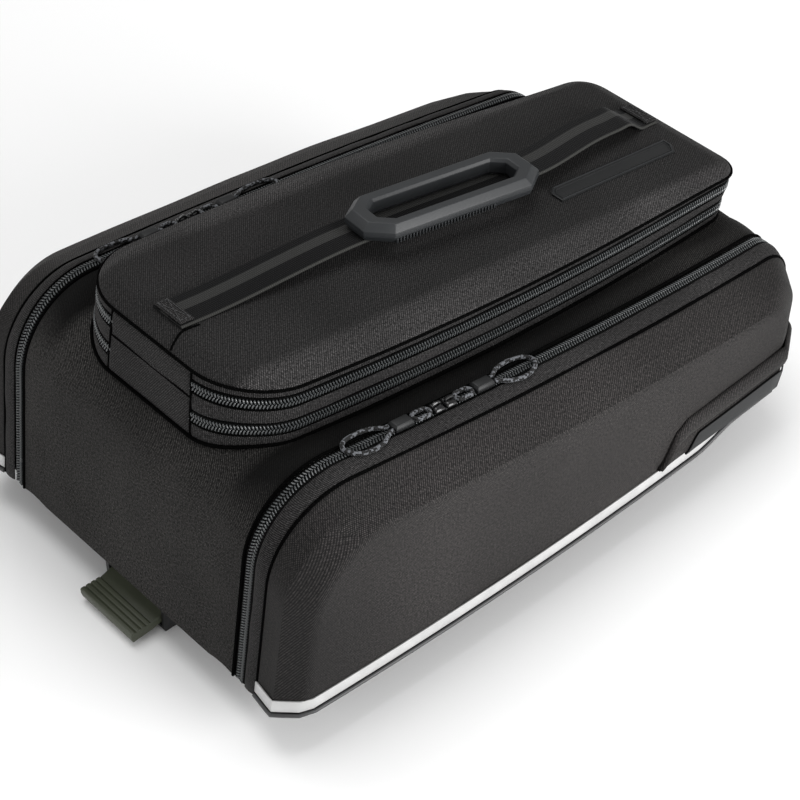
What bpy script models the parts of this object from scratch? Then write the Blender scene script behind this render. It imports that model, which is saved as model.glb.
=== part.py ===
"""Trunk bag for a bicycle's rear rack, with hard side shells, a zipped lid and a rack rail.

Units are metres. +X runs to the rear, -X end carries the release lever, -Y is the near side,
and Z = 0 is the underside of the rack rail. The lid, the side zips and the shells follow one
wedge shape, lower at the rear, whose long sides bow outward and whose end walls lean to the
rear.
"""
import math

import bmesh
import bpy
from mathutils import Matrix, Vector

# Clearance between sewn or seated pieces, and between the layers under the lid
GAP = 0.0003
STACK_GAP = 0.0006

# Centre body, from the front edge of the base to the rear edge
BAG_LENGTH = 0.372
CORE_HALF_WIDTH = 0.0863
SIDE_BOW = 0.0065
FRONT_HEIGHT = 0.1173
REAR_HEIGHT = 0.0734
FRONT_LEAN = 0.15
REAR_LEAN = 0.33
REAR_FOOT_SETBACK = 0.0165
FRONT_RADIUS = 0.045
REAR_RADIUS = 0.022
FABRIC_WALL = 0.0025
BASE_THICKNESS = 0.004

# Centre body under the lid, where the shoulders have fallen to the lid's lower seam
SHOULDER_FALL = 0.005
SHOULDER_MARGIN = 0.003
SEAM_FRONT_RADIUS = 0.030
SEAM_REAR_RADIUS = 0.012

# Lid and the zipped bands under it
LID_FRONT_HEIGHT = 0.1428
LID_REAR_HEIGHT = 0.0922
LID_FRONT_SETBACK = 0.0315
LID_REAR_OVERHANG = 0.0085
LID_REAR_FLARE = 0.0025
LID_HALF_WIDTH = 0.0594
LID_TAPER = 0.0025
LID_BOW = 0.0105
LID_FRONT_RADIUS = 0.034
LID_REAR_RADIUS = 0.015
LID_DRAFT = 0.002
LID_FRONT_DRAFT = 0.0055
LID_REAR_DRAFT = 0.0095
LID_CROWN = 0.006
LID_ROUNDING = 0.011
LID_WALL = 0.0025
LID_ZIP_WIDTH = 0.0068

# Side zip, rim and moulded shell of each side pocket
SIDE_ZIP_WIDTH = 0.0074
SIDE_ZIP_THICKNESS = 0.0018
SIDE_ZIP_RECESS = 0.0004
RIM_WIDTH = 0.008
RIM_FALL = 0.0035
RIM_THICKNESS = 0.003
GUSSET_THICKNESS = 0.002
SHELL_DEPTH = 0.0247
SHELL_WALL = 0.003
SHELL_FRONT_CHAMFER = 0.009
SHELL_REAR_CHAMFER = 0.024
SHELL_DROP = 0.015
FOOT_RISE = 0.0062
FOOT_RISE_START = 0.086
FOOT_RISE_END = 0.118

# Trim along the foot of each shell
PIPING_HEIGHT = 0.0022
PIPING_THICKNESS = 0.0016
STRIP_CLEARANCE = 0.0008
STRIP_WIDTH = 0.0068
STRIP_THICKNESS = 0.0008
STRIP_END = 0.108
PATCH_LENGTH = 0.089
PATCH_HEIGHT = 0.0335
PATCH_THICKNESS = 0.0020
PATCH_FOOT = 0.0103
PATCH_FOOT_FALL = 0.0014
PLATE_SETBACK = 0.0186
PLATE_SLANT = 0.011
PLATE_HEIGHT = 0.0205
PLATE_THICKNESS = 0.001
PLATE_MARGIN = 0.001

# Carrying strap, grip and label patch on the lid
STRAP_WIDTH = 0.022
STRAP_THICKNESS = 0.0022
STRAP_LIFT = 0.0078
STRAP_SWAY = 0.005
ANCHOR_LENGTH = 0.008
ANCHOR_THICKNESS = 0.001
GRIP_LENGTH = 0.113
GRIP_WIDTH = 0.034
GRIP_THICKNESS = 0.010
GRIP_X = 0.0215
GRIP_Y = -0.0090
GRIP_TURN = math.radians(-4.0)
GRIP_SLOT_LENGTH = 0.088
GRIP_SLOT_WIDTH = 0.018
LABEL_SETBACK = 0.058
LABEL_Y = -0.0265
LABEL_LENGTH = 0.090
LABEL_WIDTH = 0.012
LABEL_THICKNESS = 0.0012

# Zip pulls, four on the side zips and two on the upper lid zip
PULL_X = -0.0605
SLIDER_LENGTH = 0.0062
SLIDER_WIDTH = 0.0066
SLIDER_HEIGHT = 0.0028
KNOT_LENGTH = 0.0123
KNOT_HALF_WIDTH = 0.0025
PULL_GRIP_LENGTH = 0.0115
PULL_GRIP_WIDTH = 0.0066
PULL_GRIP_HEIGHT = 0.0042
LOOP_LENGTH = 0.0275
LOOP_HALF_WIDTH = 0.0066
CORD_RADIUS = 0.0011
TAB_LENGTH = 0.022
TAB_THICKNESS = 0.0016

# Rack rail, its mounting plate and the release lever
RAIL_LENGTH = 0.300
RAIL_FOOT_WIDTH = 0.046
RAIL_NECK_WIDTH = 0.030
RAIL_FOOT_HEIGHT = 0.005
RAIL_HEIGHT = 0.0210
MOUNT_PLATE_THICKNESS = 0.0024
MOUNT_PLATE_WIDTH = 0.110
BRACKET_SETBACK = 0.005
BRACKET_LENGTH = 0.031
BRACKET_HALF_WIDTH = 0.024
POCKET_DEPTH = 0.014
POCKET_FLOOR = 0.002
POCKET_ROOF = 0.0195
LEVER_HALF_WIDTH = 0.0212
LEVER_AXIS_SETBACK = 0.010
LEVER_AXIS_HEIGHT = 0.0085
LEVER_BARREL_RADIUS = 0.0036
LEVER_REACH = 0.0235
LEVER_PAD_LENGTH = 0.0125
LEVER_PAD_TOP = 0.0092
LEVER_PAD_BOTTOM = 0.0030
LEVER_RIDGES = 4
PIN_RADIUS = 0.0015

# Levels of the stack under the lid: plan share, from 1 at the lid's seam to 0 at the lower seam
STACK_PLAN = (1.0, 0.86, 0.67, 0.39, 0.20, 0.0)
# Shares of the stack's height, less its two zips, that the rim, middle and lower bands take
RIM_SHARE = 0.23
MIDDLE_SHARE = 0.45

# Steps along the curved outlines
ARCH_FRONT_STEPS = 9
ARCH_TOP_STEPS = 6
ARCH_REAR_STEPS = 7
PLAN_FRONT_STEPS = 8
PLAN_SIDE_STEPS = 6
PLAN_REAR_STEPS = 7
STRAP_STEPS = 40

BASE = RAIL_HEIGHT + GAP + MOUNT_PLATE_THICKNESS + GAP
FRONT = -BAG_LENGTH / 2.0
REAR = BAG_LENGTH / 2.0
REAR_BASE = REAR - REAR_FOOT_SETBACK
SIDE_ZIP_INNER = CORE_HALF_WIDTH + GAP
SIDE_ZIP_OUTER = SIDE_ZIP_INNER + SIDE_ZIP_WIDTH
RIM_INNER = SIDE_ZIP_OUTER + GAP
RIM_OUTER = RIM_INNER + RIM_WIDTH
SHELL_INNER = RIM_OUTER + GAP
SHELL_OUTER = SHELL_INNER + SHELL_DEPTH
LEVER_AXIS_X = FRONT + LEVER_AXIS_SETBACK
BRACKET_FRONT = FRONT + BRACKET_SETBACK
LABEL_X = REAR - LABEL_SETBACK
NEAR = -1.0
FAR = 1.0


# Materials

def material(name, colour, roughness, metallic=0.0):
    """A plain Principled material."""
    made = bpy.data.materials.new(name)
    made.use_nodes = True
    shader = made.node_tree.nodes["Principled BSDF"]
    shader.inputs["Base Color"].default_value = (*colour, 1.0)
    shader.inputs["Roughness"].default_value = roughness
    shader.inputs["Metallic"].default_value = metallic
    made.diffuse_color = (*colour, 1.0)
    return made


def make_materials():
    """Every material of the bag, by a short name."""
    return {
        "twill": material("polyester_twill", (0.036, 0.036, 0.038), 0.85),
        "shell": material("moulded_shell_twill", (0.042, 0.041, 0.042), 0.82),
        "band": material("plain_weave_band", (0.030, 0.030, 0.032), 0.88),
        "zip": material("coil_zip", (0.020, 0.020, 0.022), 0.45),
        "rubber": material("soft_rubber", (0.090, 0.094, 0.096), 0.55),
        "plate": material("bare_rubber_plate", (0.018, 0.018, 0.019), 0.50),
        "webbing": material("woven_webbing", (0.045, 0.045, 0.047), 0.80),
        "reflective": material("reflective_tape", (0.620, 0.620, 0.620), 0.35),
        "cord": material("flecked_cord", (0.140, 0.140, 0.145), 0.75),
        "rail": material("glass_filled_nylon", (0.014, 0.014, 0.015), 0.45),
        "lever": material("olive_nylon", (0.122, 0.130, 0.078), 0.48),
        "steel": material("steel_pin", (0.450, 0.450, 0.460), 0.30, 1.0),
        "slider": material("enamelled_zinc", (0.022, 0.022, 0.024), 0.35, 0.6),
    }


# Building blocks

def add_mesh(name, verts, faces, look):
    """A closed mesh object with its faces pointing out, shaded smooth but at its edges."""
    shape = bmesh.new()
    made = [shape.verts.new(point) for point in verts]
    for face in faces:
        shape.faces.new([made[index] for index in face])
    bmesh.ops.recalc_face_normals(shape, faces=shape.faces)
    mesh = bpy.data.meshes.new(name)
    shape.to_mesh(mesh)
    shape.free()
    mesh.shade_smooth()
    mesh.set_sharp_from_angle(angle=math.radians(35.0))
    mesh.materials.append(look)
    piece = bpy.data.objects.new(name, mesh)
    bpy.context.scene.collection.objects.link(piece)
    return piece


def loft(name, rings, look, ends="flat"):
    """A solid through rings with one point count; ends are flat, arch or joined."""
    count = len(rings[0])
    verts = [point for ring in rings for point in ring]
    faces = []
    spans = len(rings) if ends == "joined" else len(rings) - 1
    for span in range(spans):
        here = span * count
        there = (span + 1) % len(rings) * count
        for index in range(count):
            after = (index + 1) % count
            faces.append((here + index, here + after, there + after, there + index))
    last = (len(rings) - 1) * count
    for start in (0, last):
        if ends == "flat":
            faces.append(tuple(range(start, start + count)))
        if ends == "arch":
            faces.extend(arch_cap(start, count))
    return add_mesh(name, verts, faces, look)


def arch_cap(start, count):
    """Faces between an arch and the floor points that close its ring."""
    top = count // 2 + 1
    faces = []
    for index in range(top - 1):
        face = [start + index, start + index + 1]
        if index + 1 < top - 1:
            face.append(start + count - index - 1)
        if index > 0:
            face.append(start + (count - index) % count)
        faces.append(tuple(face))
    return faces


def fillet(before, corner, after, radius, steps):
    """Points of the arc that rounds the corner of a plan or profile, given as 2-D vectors."""
    to_before = (before - corner).normalized()
    to_after = (after - corner).normalized()
    half = to_before.angle(to_after) / 2.0
    centre = corner + (to_before + to_after).normalized() * radius / math.sin(half)
    spoke = corner + to_before * radius / math.tan(half) - centre
    end = corner + to_after * radius / math.tan(half) - centre
    turn = math.copysign(math.pi - 2.0 * half, spoke.x * end.y - spoke.y * end.x)
    return [centre + Matrix.Rotation(turn * step / steps, 2) @ spoke for step in range(steps + 1)]


def between(first, last, steps):
    """Points between two others, without the ends."""
    return [first.lerp(last, step / steps) for step in range(1, steps)]


def blend(share):
    """Smooth step from 0 to 1."""
    share = min(max(share, 0.0), 1.0)
    return share * share * (3.0 - 2.0 * share)


def along(table, share):
    """Value of a table of (share, value) pairs at a share, smoothed between its entries."""
    for (low, first), (high, second) in zip(table, table[1:]):
        if share <= high:
            return first + (second - first) * blend((share - low) / (high - low))
    return table[-1][1]


def bow(x):
    """Share of a long side's outward bow: 1 midway along the bag, 0 at its ends."""
    return 1.0 - (x / REAR) ** 2


# The wedge shape of the centre body

def arch(inset=0.0, front_in=0.0, rear_in=0.0, drop=0.0, floor=0.0,
         front_radius=FRONT_RADIUS, rear_radius=REAR_RADIUS):
    """Points (x, z) over the bag, from its base at the front to its base at the rear."""
    slope = (REAR_HEIGHT - FRONT_HEIGHT) / BAG_LENGTH
    front = FRONT + front_in + inset
    rear = REAR_BASE - rear_in - inset
    middle = BASE + (FRONT_HEIGHT + REAR_HEIGHT) / 2.0 - drop - inset
    corners = []
    for foot, lean in ((front, FRONT_LEAN), (rear, REAR_LEAN)):
        corner_x = (foot + lean * (middle - BASE)) / (1.0 - lean * slope)
        corners.append(Vector((corner_x, middle + slope * corner_x)))
    front_corner, rear_corner = corners
    start = Vector((front + FRONT_LEAN * floor, BASE + floor))
    end = Vector((rear + REAR_LEAN * floor, BASE + floor))
    first = fillet(start, front_corner, rear_corner, front_radius - inset, ARCH_FRONT_STEPS)
    last = fillet(front_corner, rear_corner, end, rear_radius - inset, ARCH_REAR_STEPS)
    run = between(first[-1], last[0], ARCH_TOP_STEPS)
    return [start, *first, *run, *last, end]


def height_on(points, x):
    """Height of a line of (x, z) points above a given x."""
    for first, second in zip(points, points[1:]):
        if first.x <= x <= second.x and second.x > first.x:
            return first.y + (second.y - first.y) * (x - first.x) / (second.x - first.x)
    return points[-2].y if x > points[-2].x else points[1].y


def side_ring(points, half_width, side):
    """An arch closed along its base, at a bowed distance from the middle of the bag."""
    floor = between(points[-1], points[0], len(points) - 1)
    return [Vector((p.x, side * half_width(p.x), p.y)) for p in [*points, *floor]]


def bowed(half_width):
    """Half width that bows outward midway along the bag."""
    return lambda x: half_width + SIDE_BOW * bow(x)


def seam_half_width(x):
    """Half width of the centre body's flat top, just outside the lid's lower seam."""
    return (LID_HALF_WIDTH - LID_TAPER * x / REAR + LID_BOW * bow(x)
            + LID_DRAFT + SHOULDER_MARGIN)


def seam_arch(inset=0.0, floor=0.0):
    """The centre body's arch under the lid, lower and squarer than at the side zips."""
    return arch(inset=inset, drop=SHOULDER_FALL, floor=floor,
                front_radius=SEAM_FRONT_RADIUS, rear_radius=SEAM_REAR_RADIUS)


def side_top(x):
    """Height of the body's edge at the side zips."""
    return height_on(arch(), x)


def lid_seam(x):
    """Height of the lid's seam, where the lid panel meets the bands under it."""
    share = (x - FRONT) / BAG_LENGTH
    return BASE + LID_FRONT_HEIGHT + (LID_REAR_HEIGHT - LID_FRONT_HEIGHT) * share


def on_lid(x, y, rise):
    """A point above the lid's flat top."""
    return Vector((x, y, lid_seam(x) + LID_CROWN + rise))


# The lid's plan and the stack of bands under it

def lid_rear(level):
    """Place of the lid's rear edge at a stack level; it hangs out furthest at its seam."""
    return REAR + LID_REAR_OVERHANG - LID_REAR_DRAFT * (1.0 - level)


def plan(level, inset=0.0):
    """Points (x, y) round the lid, from the front middle by the near side, at a stack level."""
    grow = LID_DRAFT * (1.0 - level) - inset
    front = FRONT + LID_FRONT_SETBACK - LID_FRONT_DRAFT * (1.0 - level) + inset
    rear = lid_rear(level) - inset
    front_half = LID_HALF_WIDTH + LID_TAPER + grow
    rear_half = LID_HALF_WIDTH - LID_TAPER + grow
    middle_front = Vector((front, 0.0))
    front_corner = Vector((front, -front_half))
    rear_corner = Vector((rear, -rear_half))
    middle_rear = Vector((rear, 0.0))
    first = fillet(middle_front, front_corner, rear_corner,
                   LID_FRONT_RADIUS - inset, PLAN_FRONT_STEPS)
    last = fillet(front_corner, rear_corner, middle_rear,
                  LID_REAR_RADIUS - inset, PLAN_REAR_STEPS)
    near = [*first, *between(first[-1], last[0], PLAN_SIDE_STEPS), *last]
    for point in near:
        share = (point.x - front) / (rear - front)
        half = front_half + (rear_half - front_half) * share
        flare = LID_REAR_FLARE * level * max(point.x / REAR, 0.0) ** 6
        point.y += (LID_BOW * bow(point.x) + flare) * point.y / half
    far = [Vector((point.x, -point.y)) for point in reversed(near)]
    return [middle_front, *near, middle_rear, *far]


def stack_height(x, layer):
    """Height of a layer's top in the stack: 0 is the lid's seam and 5 the lower seam."""
    top = lid_seam(x)
    foot = height_on(seam_arch(), min(x, lid_rear(0.0))) + GAP
    spare = top - foot - 2.0 * LID_ZIP_WIDTH
    rim = RIM_SHARE * spare
    middle = MIDDLE_SHARE * spare
    depths = (0.0, rim, rim + LID_ZIP_WIDTH, rim + LID_ZIP_WIDTH + middle,
              rim + middle + 2.0 * LID_ZIP_WIDTH, top - foot)
    return top - depths[layer]


def stack_stations(layer):
    """Sections of one layer of the stack at each point round its plan."""
    corners = []
    half = STACK_GAP / 2.0
    for level, inset, trim in ((layer + 1, 0.0, half), (layer, 0.0, -half),
                               (layer, LID_WALL, -half), (layer + 1, LID_WALL, half)):
        outline = plan(STACK_PLAN[level], inset)
        corners.append([Vector((p.x, p.y, stack_height(p.x, level) + trim)) for p in outline])
    return [list(section) for section in zip(*corners)]


def shift_section(section, amount):
    """A section moved away from the bag's middle plane, or toward it if amount is negative."""
    return [Vector((p.x, p.y + math.copysign(amount, p.y), p.z)) for p in section]


def make_stack(looks):
    """Bands, zips and fabric hinges between the centre body and the lid."""
    for name, layer in (("lid_rim_band", 0), ("lid_middle_band", 2), ("lid_lower_band", 4)):
        loft(name, stack_stations(layer), looks["band"], ends="joined")
    for word, layer in (("upper", 1), ("lower", 3)):
        stations = stack_stations(layer)
        zip_line = [shift_section(stations[1], GAP / 2.0), *stations[2:-1],
                    shift_section(stations[-1], GAP / 2.0)]
        loft("lid_zip_" + word, zip_line, looks["zip"])
        hinge = [shift_section(stations[-1], -GAP / 2.0), stations[0],
                 shift_section(stations[1], -GAP / 2.0)]
        loft("lid_hinge_" + word, hinge, looks["twill"])


def make_lid(looks):
    """The moulded lid panel: a flat top with rounded edges, open underneath."""
    edge = ((0.0, 0.0), (0.08, 0.28), (0.42, 0.70), (0.80, 0.95), (1.0, 1.0))
    levels = [(LID_ROUNDING + LID_WALL, LID_CROWN - LID_WALL),
              (0.3 * LID_ROUNDING + LID_WALL, 0.7 * LID_CROWN - LID_WALL),
              (LID_WALL, GAP / 2.0)]
    levels += [(inset * LID_ROUNDING, max(rise * LID_CROWN, GAP / 2.0)) for inset, rise in edge]
    rings = []
    for inset, rise in levels:
        rings.append([Vector((p.x, p.y, lid_seam(p.x) + rise)) for p in plan(1.0, inset)])
    loft("lid_panel", rings, looks["twill"])


# The centre body

def tub_rings(inset, floor):
    """Rings of the centre body across its width, at the side zips and beside the lid."""
    edge = arch(inset=inset, floor=floor)
    seam = seam_arch(inset=inset, floor=floor)
    outer = bowed(CORE_HALF_WIDTH - inset)
    return [side_ring(edge, outer, NEAR), side_ring(seam, seam_half_width, NEAR),
            side_ring(seam, seam_half_width, FAR), side_ring(edge, outer, FAR)]


def cut(piece, cutter):
    """Takes a hidden cutter's shape out of a piece."""
    cutter.hide_render = True
    cutter.display_type = "WIRE"
    change = piece.modifiers.new("cut_" + cutter.name, "BOOLEAN")
    change.operation = "DIFFERENCE"
    change.solver = "EXACT"
    change.object = cutter


def make_tub(looks):
    """The main compartment: a wedge-shaped fabric tub, open under the lid."""
    tub = loft("main_tub", tub_rings(0.0, 0.0), looks["twill"], ends="arch")
    hollow = loft("tub_hollow", tub_rings(FABRIC_WALL, BASE_THICKNESS), looks["twill"], ends="arch")
    mouth = []
    for height in (BASE + REAR_HEIGHT / 2.0, BASE + LID_FRONT_HEIGHT + LID_CROWN):
        mouth.append([Vector((p.x, p.y, height)) for p in plan(0.0, LID_WALL)])
    cut(tub, hollow)
    cut(tub, loft("tub_mouth", mouth, looks["twill"]))


# The side pockets

def arch_band(name, look, inner, outer, inner_y, outer_y, thickness, side):
    """A band over the bag between two arches, which reach from base to base."""
    lines = [(arch(**inner), inner_y), (arch(**outer), outer_y)]
    for settings, half in ((outer, outer_y), (inner, inner_y)):
        deeper = dict(settings, inset=settings.get("inset", 0.0) + thickness)
        lines.append((arch(**deeper), half))
    placed = []
    for points, half in lines:
        placed.append([Vector((p.x, side * bowed(half)(p.x), p.y)) for p in points])
    loft(name, [list(section) for section in zip(*placed)], look)


def make_gusset(name, look, side):
    """The fabric floor that joins a side pocket to the centre body."""
    start = FRONT + RIM_THICKNESS + FRONT_LEAN * GUSSET_THICKNESS + 3.0 * GAP
    end = REAR_BASE - RIM_THICKNESS - 3.0 * GAP
    rings = []
    for step in range(2 * ARCH_TOP_STEPS + 1):
        x = start + (end - start) * step / (2 * ARCH_TOP_STEPS)
        low = [side * bowed(SIDE_ZIP_INNER)(x), side * bowed(RIM_OUTER)(x)]
        rings.append([Vector((x, low[0], BASE)), Vector((x, low[1], BASE)),
                      Vector((x, low[1], BASE + GUSSET_THICKNESS)),
                      Vector((x, low[0], BASE + GUSSET_THICKNESS))])
    loft(name, rings, look)


# Shell sections from the rim to the flat outer face: shares of the depth, of the front and
# rear chamfers, and of the drop from the rim's top to the crease
SHELL_SECTIONS = ((0.0, 0.0, 0.0, 0.0), (0.58, -0.25, 0.34, 0.5), (1.0, 1.0, 1.0, 1.0))


def shell_arch(section, inset=0.0, floor=0.0):
    """Arch of one shell section."""
    drop = RIM_FALL + (SHELL_DROP - RIM_FALL) * section[3]
    return arch(inset=inset, front_in=SHELL_FRONT_CHAMFER * section[1],
                rear_in=SHELL_REAR_CHAMFER * section[2], drop=drop, floor=floor)


def shell_edge(section):
    """Half width of one shell section."""
    return SHELL_INNER + SHELL_DEPTH * section[0]


def foot_rise(x):
    """Lift of a shell's foot above the base, near the rear corner."""
    return FOOT_RISE * blend((x - FOOT_RISE_START) / (FOOT_RISE_END - FOOT_RISE_START))


def lift_foot(ring, count):
    """Raises a shell ring's rear foot, from the arch's last point along the floor."""
    for point in ring[count - 1:]:
        point.z += foot_rise(point.x)
    corner = ring[count - 1]
    corner.x += REAR_LEAN * foot_rise(corner.x)
    return ring


def make_shell(name, look, side):
    """A moulded side shell: a hollow cup that opens toward the centre body."""
    rings = []
    for section in reversed(SHELL_SECTIONS):
        half = shell_edge(section)
        if section[0] > 0.0:
            half -= SHELL_WALL
        points = shell_arch(section, inset=SHELL_WALL, floor=SHELL_WALL)
        rings.append(lift_foot(side_ring(points, bowed(half), side), len(points)))
    for section in SHELL_SECTIONS:
        points = shell_arch(section)
        ring = side_ring(points, bowed(shell_edge(section)), side)
        rings.append(lift_foot(ring, len(points)))
    loft(name, rings, look, ends="arch")


def foot_path(start, end, steps, front_corner, rear_corner):
    """Plan points (x, half width, lean) along a shell's foot."""
    path = []
    if front_corner:
        for section in SHELL_SECTIONS:
            x = FRONT + SHELL_FRONT_CHAMFER * section[1]
            path.append((x, bowed(shell_edge(section))(x), FRONT_LEAN))
    last = steps if rear_corner else steps + 1
    for step in range(1 if front_corner else 0, last):
        x = start + (end - start) * step / steps
        path.append((x, bowed(SHELL_OUTER)(x), 0.0))
    if rear_corner:
        for section in reversed(SHELL_SECTIONS):
            x = REAR_BASE - SHELL_REAR_CHAMFER * section[2]
            path.append((x, bowed(shell_edge(section))(x), REAR_LEAN))
    return path


def outset(path, distance):
    """Plan points moved out from the shell by a distance, mitred at the corners."""
    moved = []
    for index, (x, y, lean) in enumerate(path):
        before = path[max(index - 1, 0)]
        after = path[min(index + 1, len(path) - 1)]
        first = Vector((x - before[0], y - before[1]))
        second = Vector((after[0] - x, after[1] - y))
        first = first.normalized() if first.length > 0.0 else second.normalized()
        second = second.normalized() if second.length > 0.0 else first
        out = (first + second).normalized()
        stretch = distance / max(out.dot(first), 0.5)
        moved.append((x - out.y * stretch, y + out.x * stretch, lean))
    return moved


def foot_band(name, look, side, path, low, high, gap, thickness):
    """A band on a shell's outer face, with its lower and upper edges above the base."""
    inner = outset(path, gap)
    outer = outset(path, gap + thickness)
    rings = []
    for index, (near, far) in enumerate(zip(inner, outer)):
        bottom, top = low(index), high(index)
        ring = []
        for point, height in ((near, bottom), (far, bottom), (far, top), (near, top)):
            x = point[0] + height * point[2]
            ring.append(Vector((x, side * point[1], BASE + height)))
        rings.append(ring)
    loft(name, rings, look)


# Upper edge of a corner patch: shares of its length, from the front tip, and of its height
PATCH_RISE = ((0.0, 0.36), (0.17, 0.90), (0.24, 1.0), (1.0, 1.0))


def make_foot_trim(word, looks, side):
    """Piping, reflective strip, raised rear corner patch and bare plate of one shell."""
    start = FRONT + SHELL_FRONT_CHAMFER
    end = REAR_BASE - SHELL_REAR_CHAMFER
    patch_start = end - PATCH_LENGTH
    low = PIPING_HEIGHT + STRIP_CLEARANCE
    strip_top = low + STRIP_WIDTH

    def patch_foot(x):
        """Lower edge of the patch, just above the strip."""
        return PATCH_FOOT - PATCH_FOOT_FALL * (x - patch_start) / PATCH_LENGTH

    piping = foot_path(start, end, 16, True, True)
    foot_band("foot_piping_" + word, looks["band"], side, piping,
              lambda index: foot_rise(piping[index][0]),
              lambda index: foot_rise(piping[index][0]) + PIPING_HEIGHT, GAP, PIPING_THICKNESS)
    strip = foot_path(start, STRIP_END, 24, True, False)
    foot_band("reflective_strip_" + word, looks["reflective"], side, strip,
              lambda index: low + foot_rise(strip[index][0]),
              lambda index: min(strip_top, patch_foot(strip[index][0]) - GAP),
              GAP, STRIP_THICKNESS)
    patch = foot_path(patch_start, end, 10, False, True)
    patch.pop()
    foot_band("corner_patch_" + word, looks["band"], side, patch,
              lambda index: patch_foot(patch[index][0]),
              lambda index: PATCH_HEIGHT * along(PATCH_RISE,
                                                 (patch[index][0] - patch_start) / PATCH_LENGTH),
              GAP, PATCH_THICKNESS)
    plate_start = patch_start + PLATE_SETBACK
    plate = foot_path(plate_start, end, 9, False, True)[:-2]

    def plate_top(index):
        """Upper edge of the plate, which rises along its slanted front end."""
        x = plate[index][0]
        foot = patch_foot(x) + PLATE_MARGIN
        return foot + (PLATE_HEIGHT - foot) * max(blend((x - plate_start) / PLATE_SLANT), 0.1)

    foot_band("corner_plate_" + word, looks["plate"], side, plate,
              lambda index: patch_foot(plate[index][0]) + PLATE_MARGIN, plate_top,
              PATCH_THICKNESS + 2.0 * GAP, PLATE_THICKNESS)


def make_side(word, looks, side):
    """One side pocket: zip, rim, gusset, shell and trim."""
    zip_line = {"inset": SIDE_ZIP_RECESS}
    arch_band("side_zip_" + word, looks["zip"], zip_line, zip_line,
              SIDE_ZIP_INNER, SIDE_ZIP_OUTER, SIDE_ZIP_THICKNESS, side)
    seam = {"drop": RIM_FALL, "front_in": SHELL_FRONT_CHAMFER * SHELL_SECTIONS[0][1]}
    arch_band("side_rim_" + word, looks["band"], {}, seam,
              RIM_INNER, RIM_OUTER, RIM_THICKNESS, side)
    make_gusset("side_gusset_" + word, looks["band"], side)
    make_shell("side_shell_" + word, looks["shell"], side)
    make_foot_trim(word, looks, side)


# Strap, grip and label patch

def lid_plate(name, look, outline, low, high):
    """A flat plate over the lid's top between two heights above it."""
    rings = [[on_lid(x, y, rise) for x, y in outline] for rise in (low, high)]
    return loft(name, rings, look)


def strap_y(x):
    """Sideways place of the strap's centre line, which the turned grip draws to the near side."""
    sway = ((0.0, 0.4), (0.36, -0.2), (0.69, -1.0), (0.88, 0.4), (1.0, 1.0))
    share = (x - strap_end(0.0)) / (strap_end(1.0) - strap_end(0.0))
    return STRAP_SWAY * along(sway, share)


def strap_end(share):
    """Place along the strap, which lies between the lid's front and rear roundings."""
    front = FRONT + LID_FRONT_SETBACK + LID_ROUNDING
    rear = lid_rear(1.0) - LID_ROUNDING
    return front + (rear - front) * share


def make_strap(looks):
    """The carrying strap: flat on the lid at both ends, lifted under the grip."""
    length = strap_end(1.0) - strap_end(0.0)
    flat = (ANCHOR_LENGTH + 2.0 * ANCHOR_THICKNESS) / length
    front = (GRIP_X - GRIP_LENGTH / 2.0 - strap_end(0.0)) / length
    rise = ((0.0, 0.0), (flat, 0.0), (front, 1.0), (1.0 - 2.5 * flat, 1.0), (1.0 - flat, 0.0),
            (1.0, 0.0))
    rings = []
    for step in range(STRAP_STEPS + 1):
        share = step / STRAP_STEPS
        x = strap_end(share)
        low = GAP + STRAP_LIFT * along(rise, share)
        near = strap_y(x) - STRAP_WIDTH / 2.0
        far = strap_y(x) + STRAP_WIDTH / 2.0
        rings.append([on_lid(x, near, low), on_lid(x, far, low),
                      on_lid(x, far, low + STRAP_THICKNESS),
                      on_lid(x, near, low + STRAP_THICKNESS)])
    loft("carry_strap", rings, looks["webbing"])
    low = STRAP_THICKNESS + 2.0 * GAP
    for word, start in (("front", strap_end(0.0)), ("rear", strap_end(1.0) - ANCHOR_LENGTH)):
        half = STRAP_WIDTH / 2.0 - ANCHOR_THICKNESS
        middle = strap_y(start)
        outline = ((start, middle - half), (start + ANCHOR_LENGTH, middle - half),
                   (start + ANCHOR_LENGTH, middle + half), (start, middle + half))
        lid_plate("strap_anchor_" + word, looks["band"], outline, low, low + ANCHOR_THICKNESS)


def long_octagon(length, width, end_share, cut_share):
    """Corners of a long octagon, with its end edge and corner cuts as shares of its width."""
    along_x = length / 2.0
    end = end_share * width / 2.0
    inner = along_x - cut_share * width / 2.0
    half = width / 2.0
    corners = [(-along_x, end), (-along_x, -end), (-inner, -half), (inner, -half),
               (along_x, -end), (along_x, end), (inner, half), (-inner, half)]
    return [Vector(corner) for corner in corners]


def make_grip(looks):
    """The rubber grip: a long eight-sided ring, bevelled all round, over the strap."""
    outer = long_octagon(GRIP_LENGTH, GRIP_WIDTH, 0.45, 0.75)
    inner = long_octagon(GRIP_SLOT_LENGTH, GRIP_SLOT_WIDTH, 0.45, 0.75)
    section = ((0.12, 0.0), (0.0, 0.30), (0.02, 0.62), (0.34, 1.0),
               (0.86, 0.97), (1.0, 0.78), (1.0, 0.12), (0.90, 0.0))
    centre = Vector((GRIP_X, GRIP_Y))
    turn = Matrix.Rotation(GRIP_TURN, 2)
    foot = STRAP_LIFT + STRAP_THICKNESS + 2.0 * GAP
    rings = []
    for across, rise in section:
        ring = []
        for first, second in zip(outer, inner):
            place = centre + turn @ first.lerp(second, across)
            ring.append(on_lid(place.x, place.y, foot + GRIP_THICKNESS * rise))
        rings.append(ring)
    loft("handle_grip", rings, looks["rubber"], ends="joined")


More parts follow.
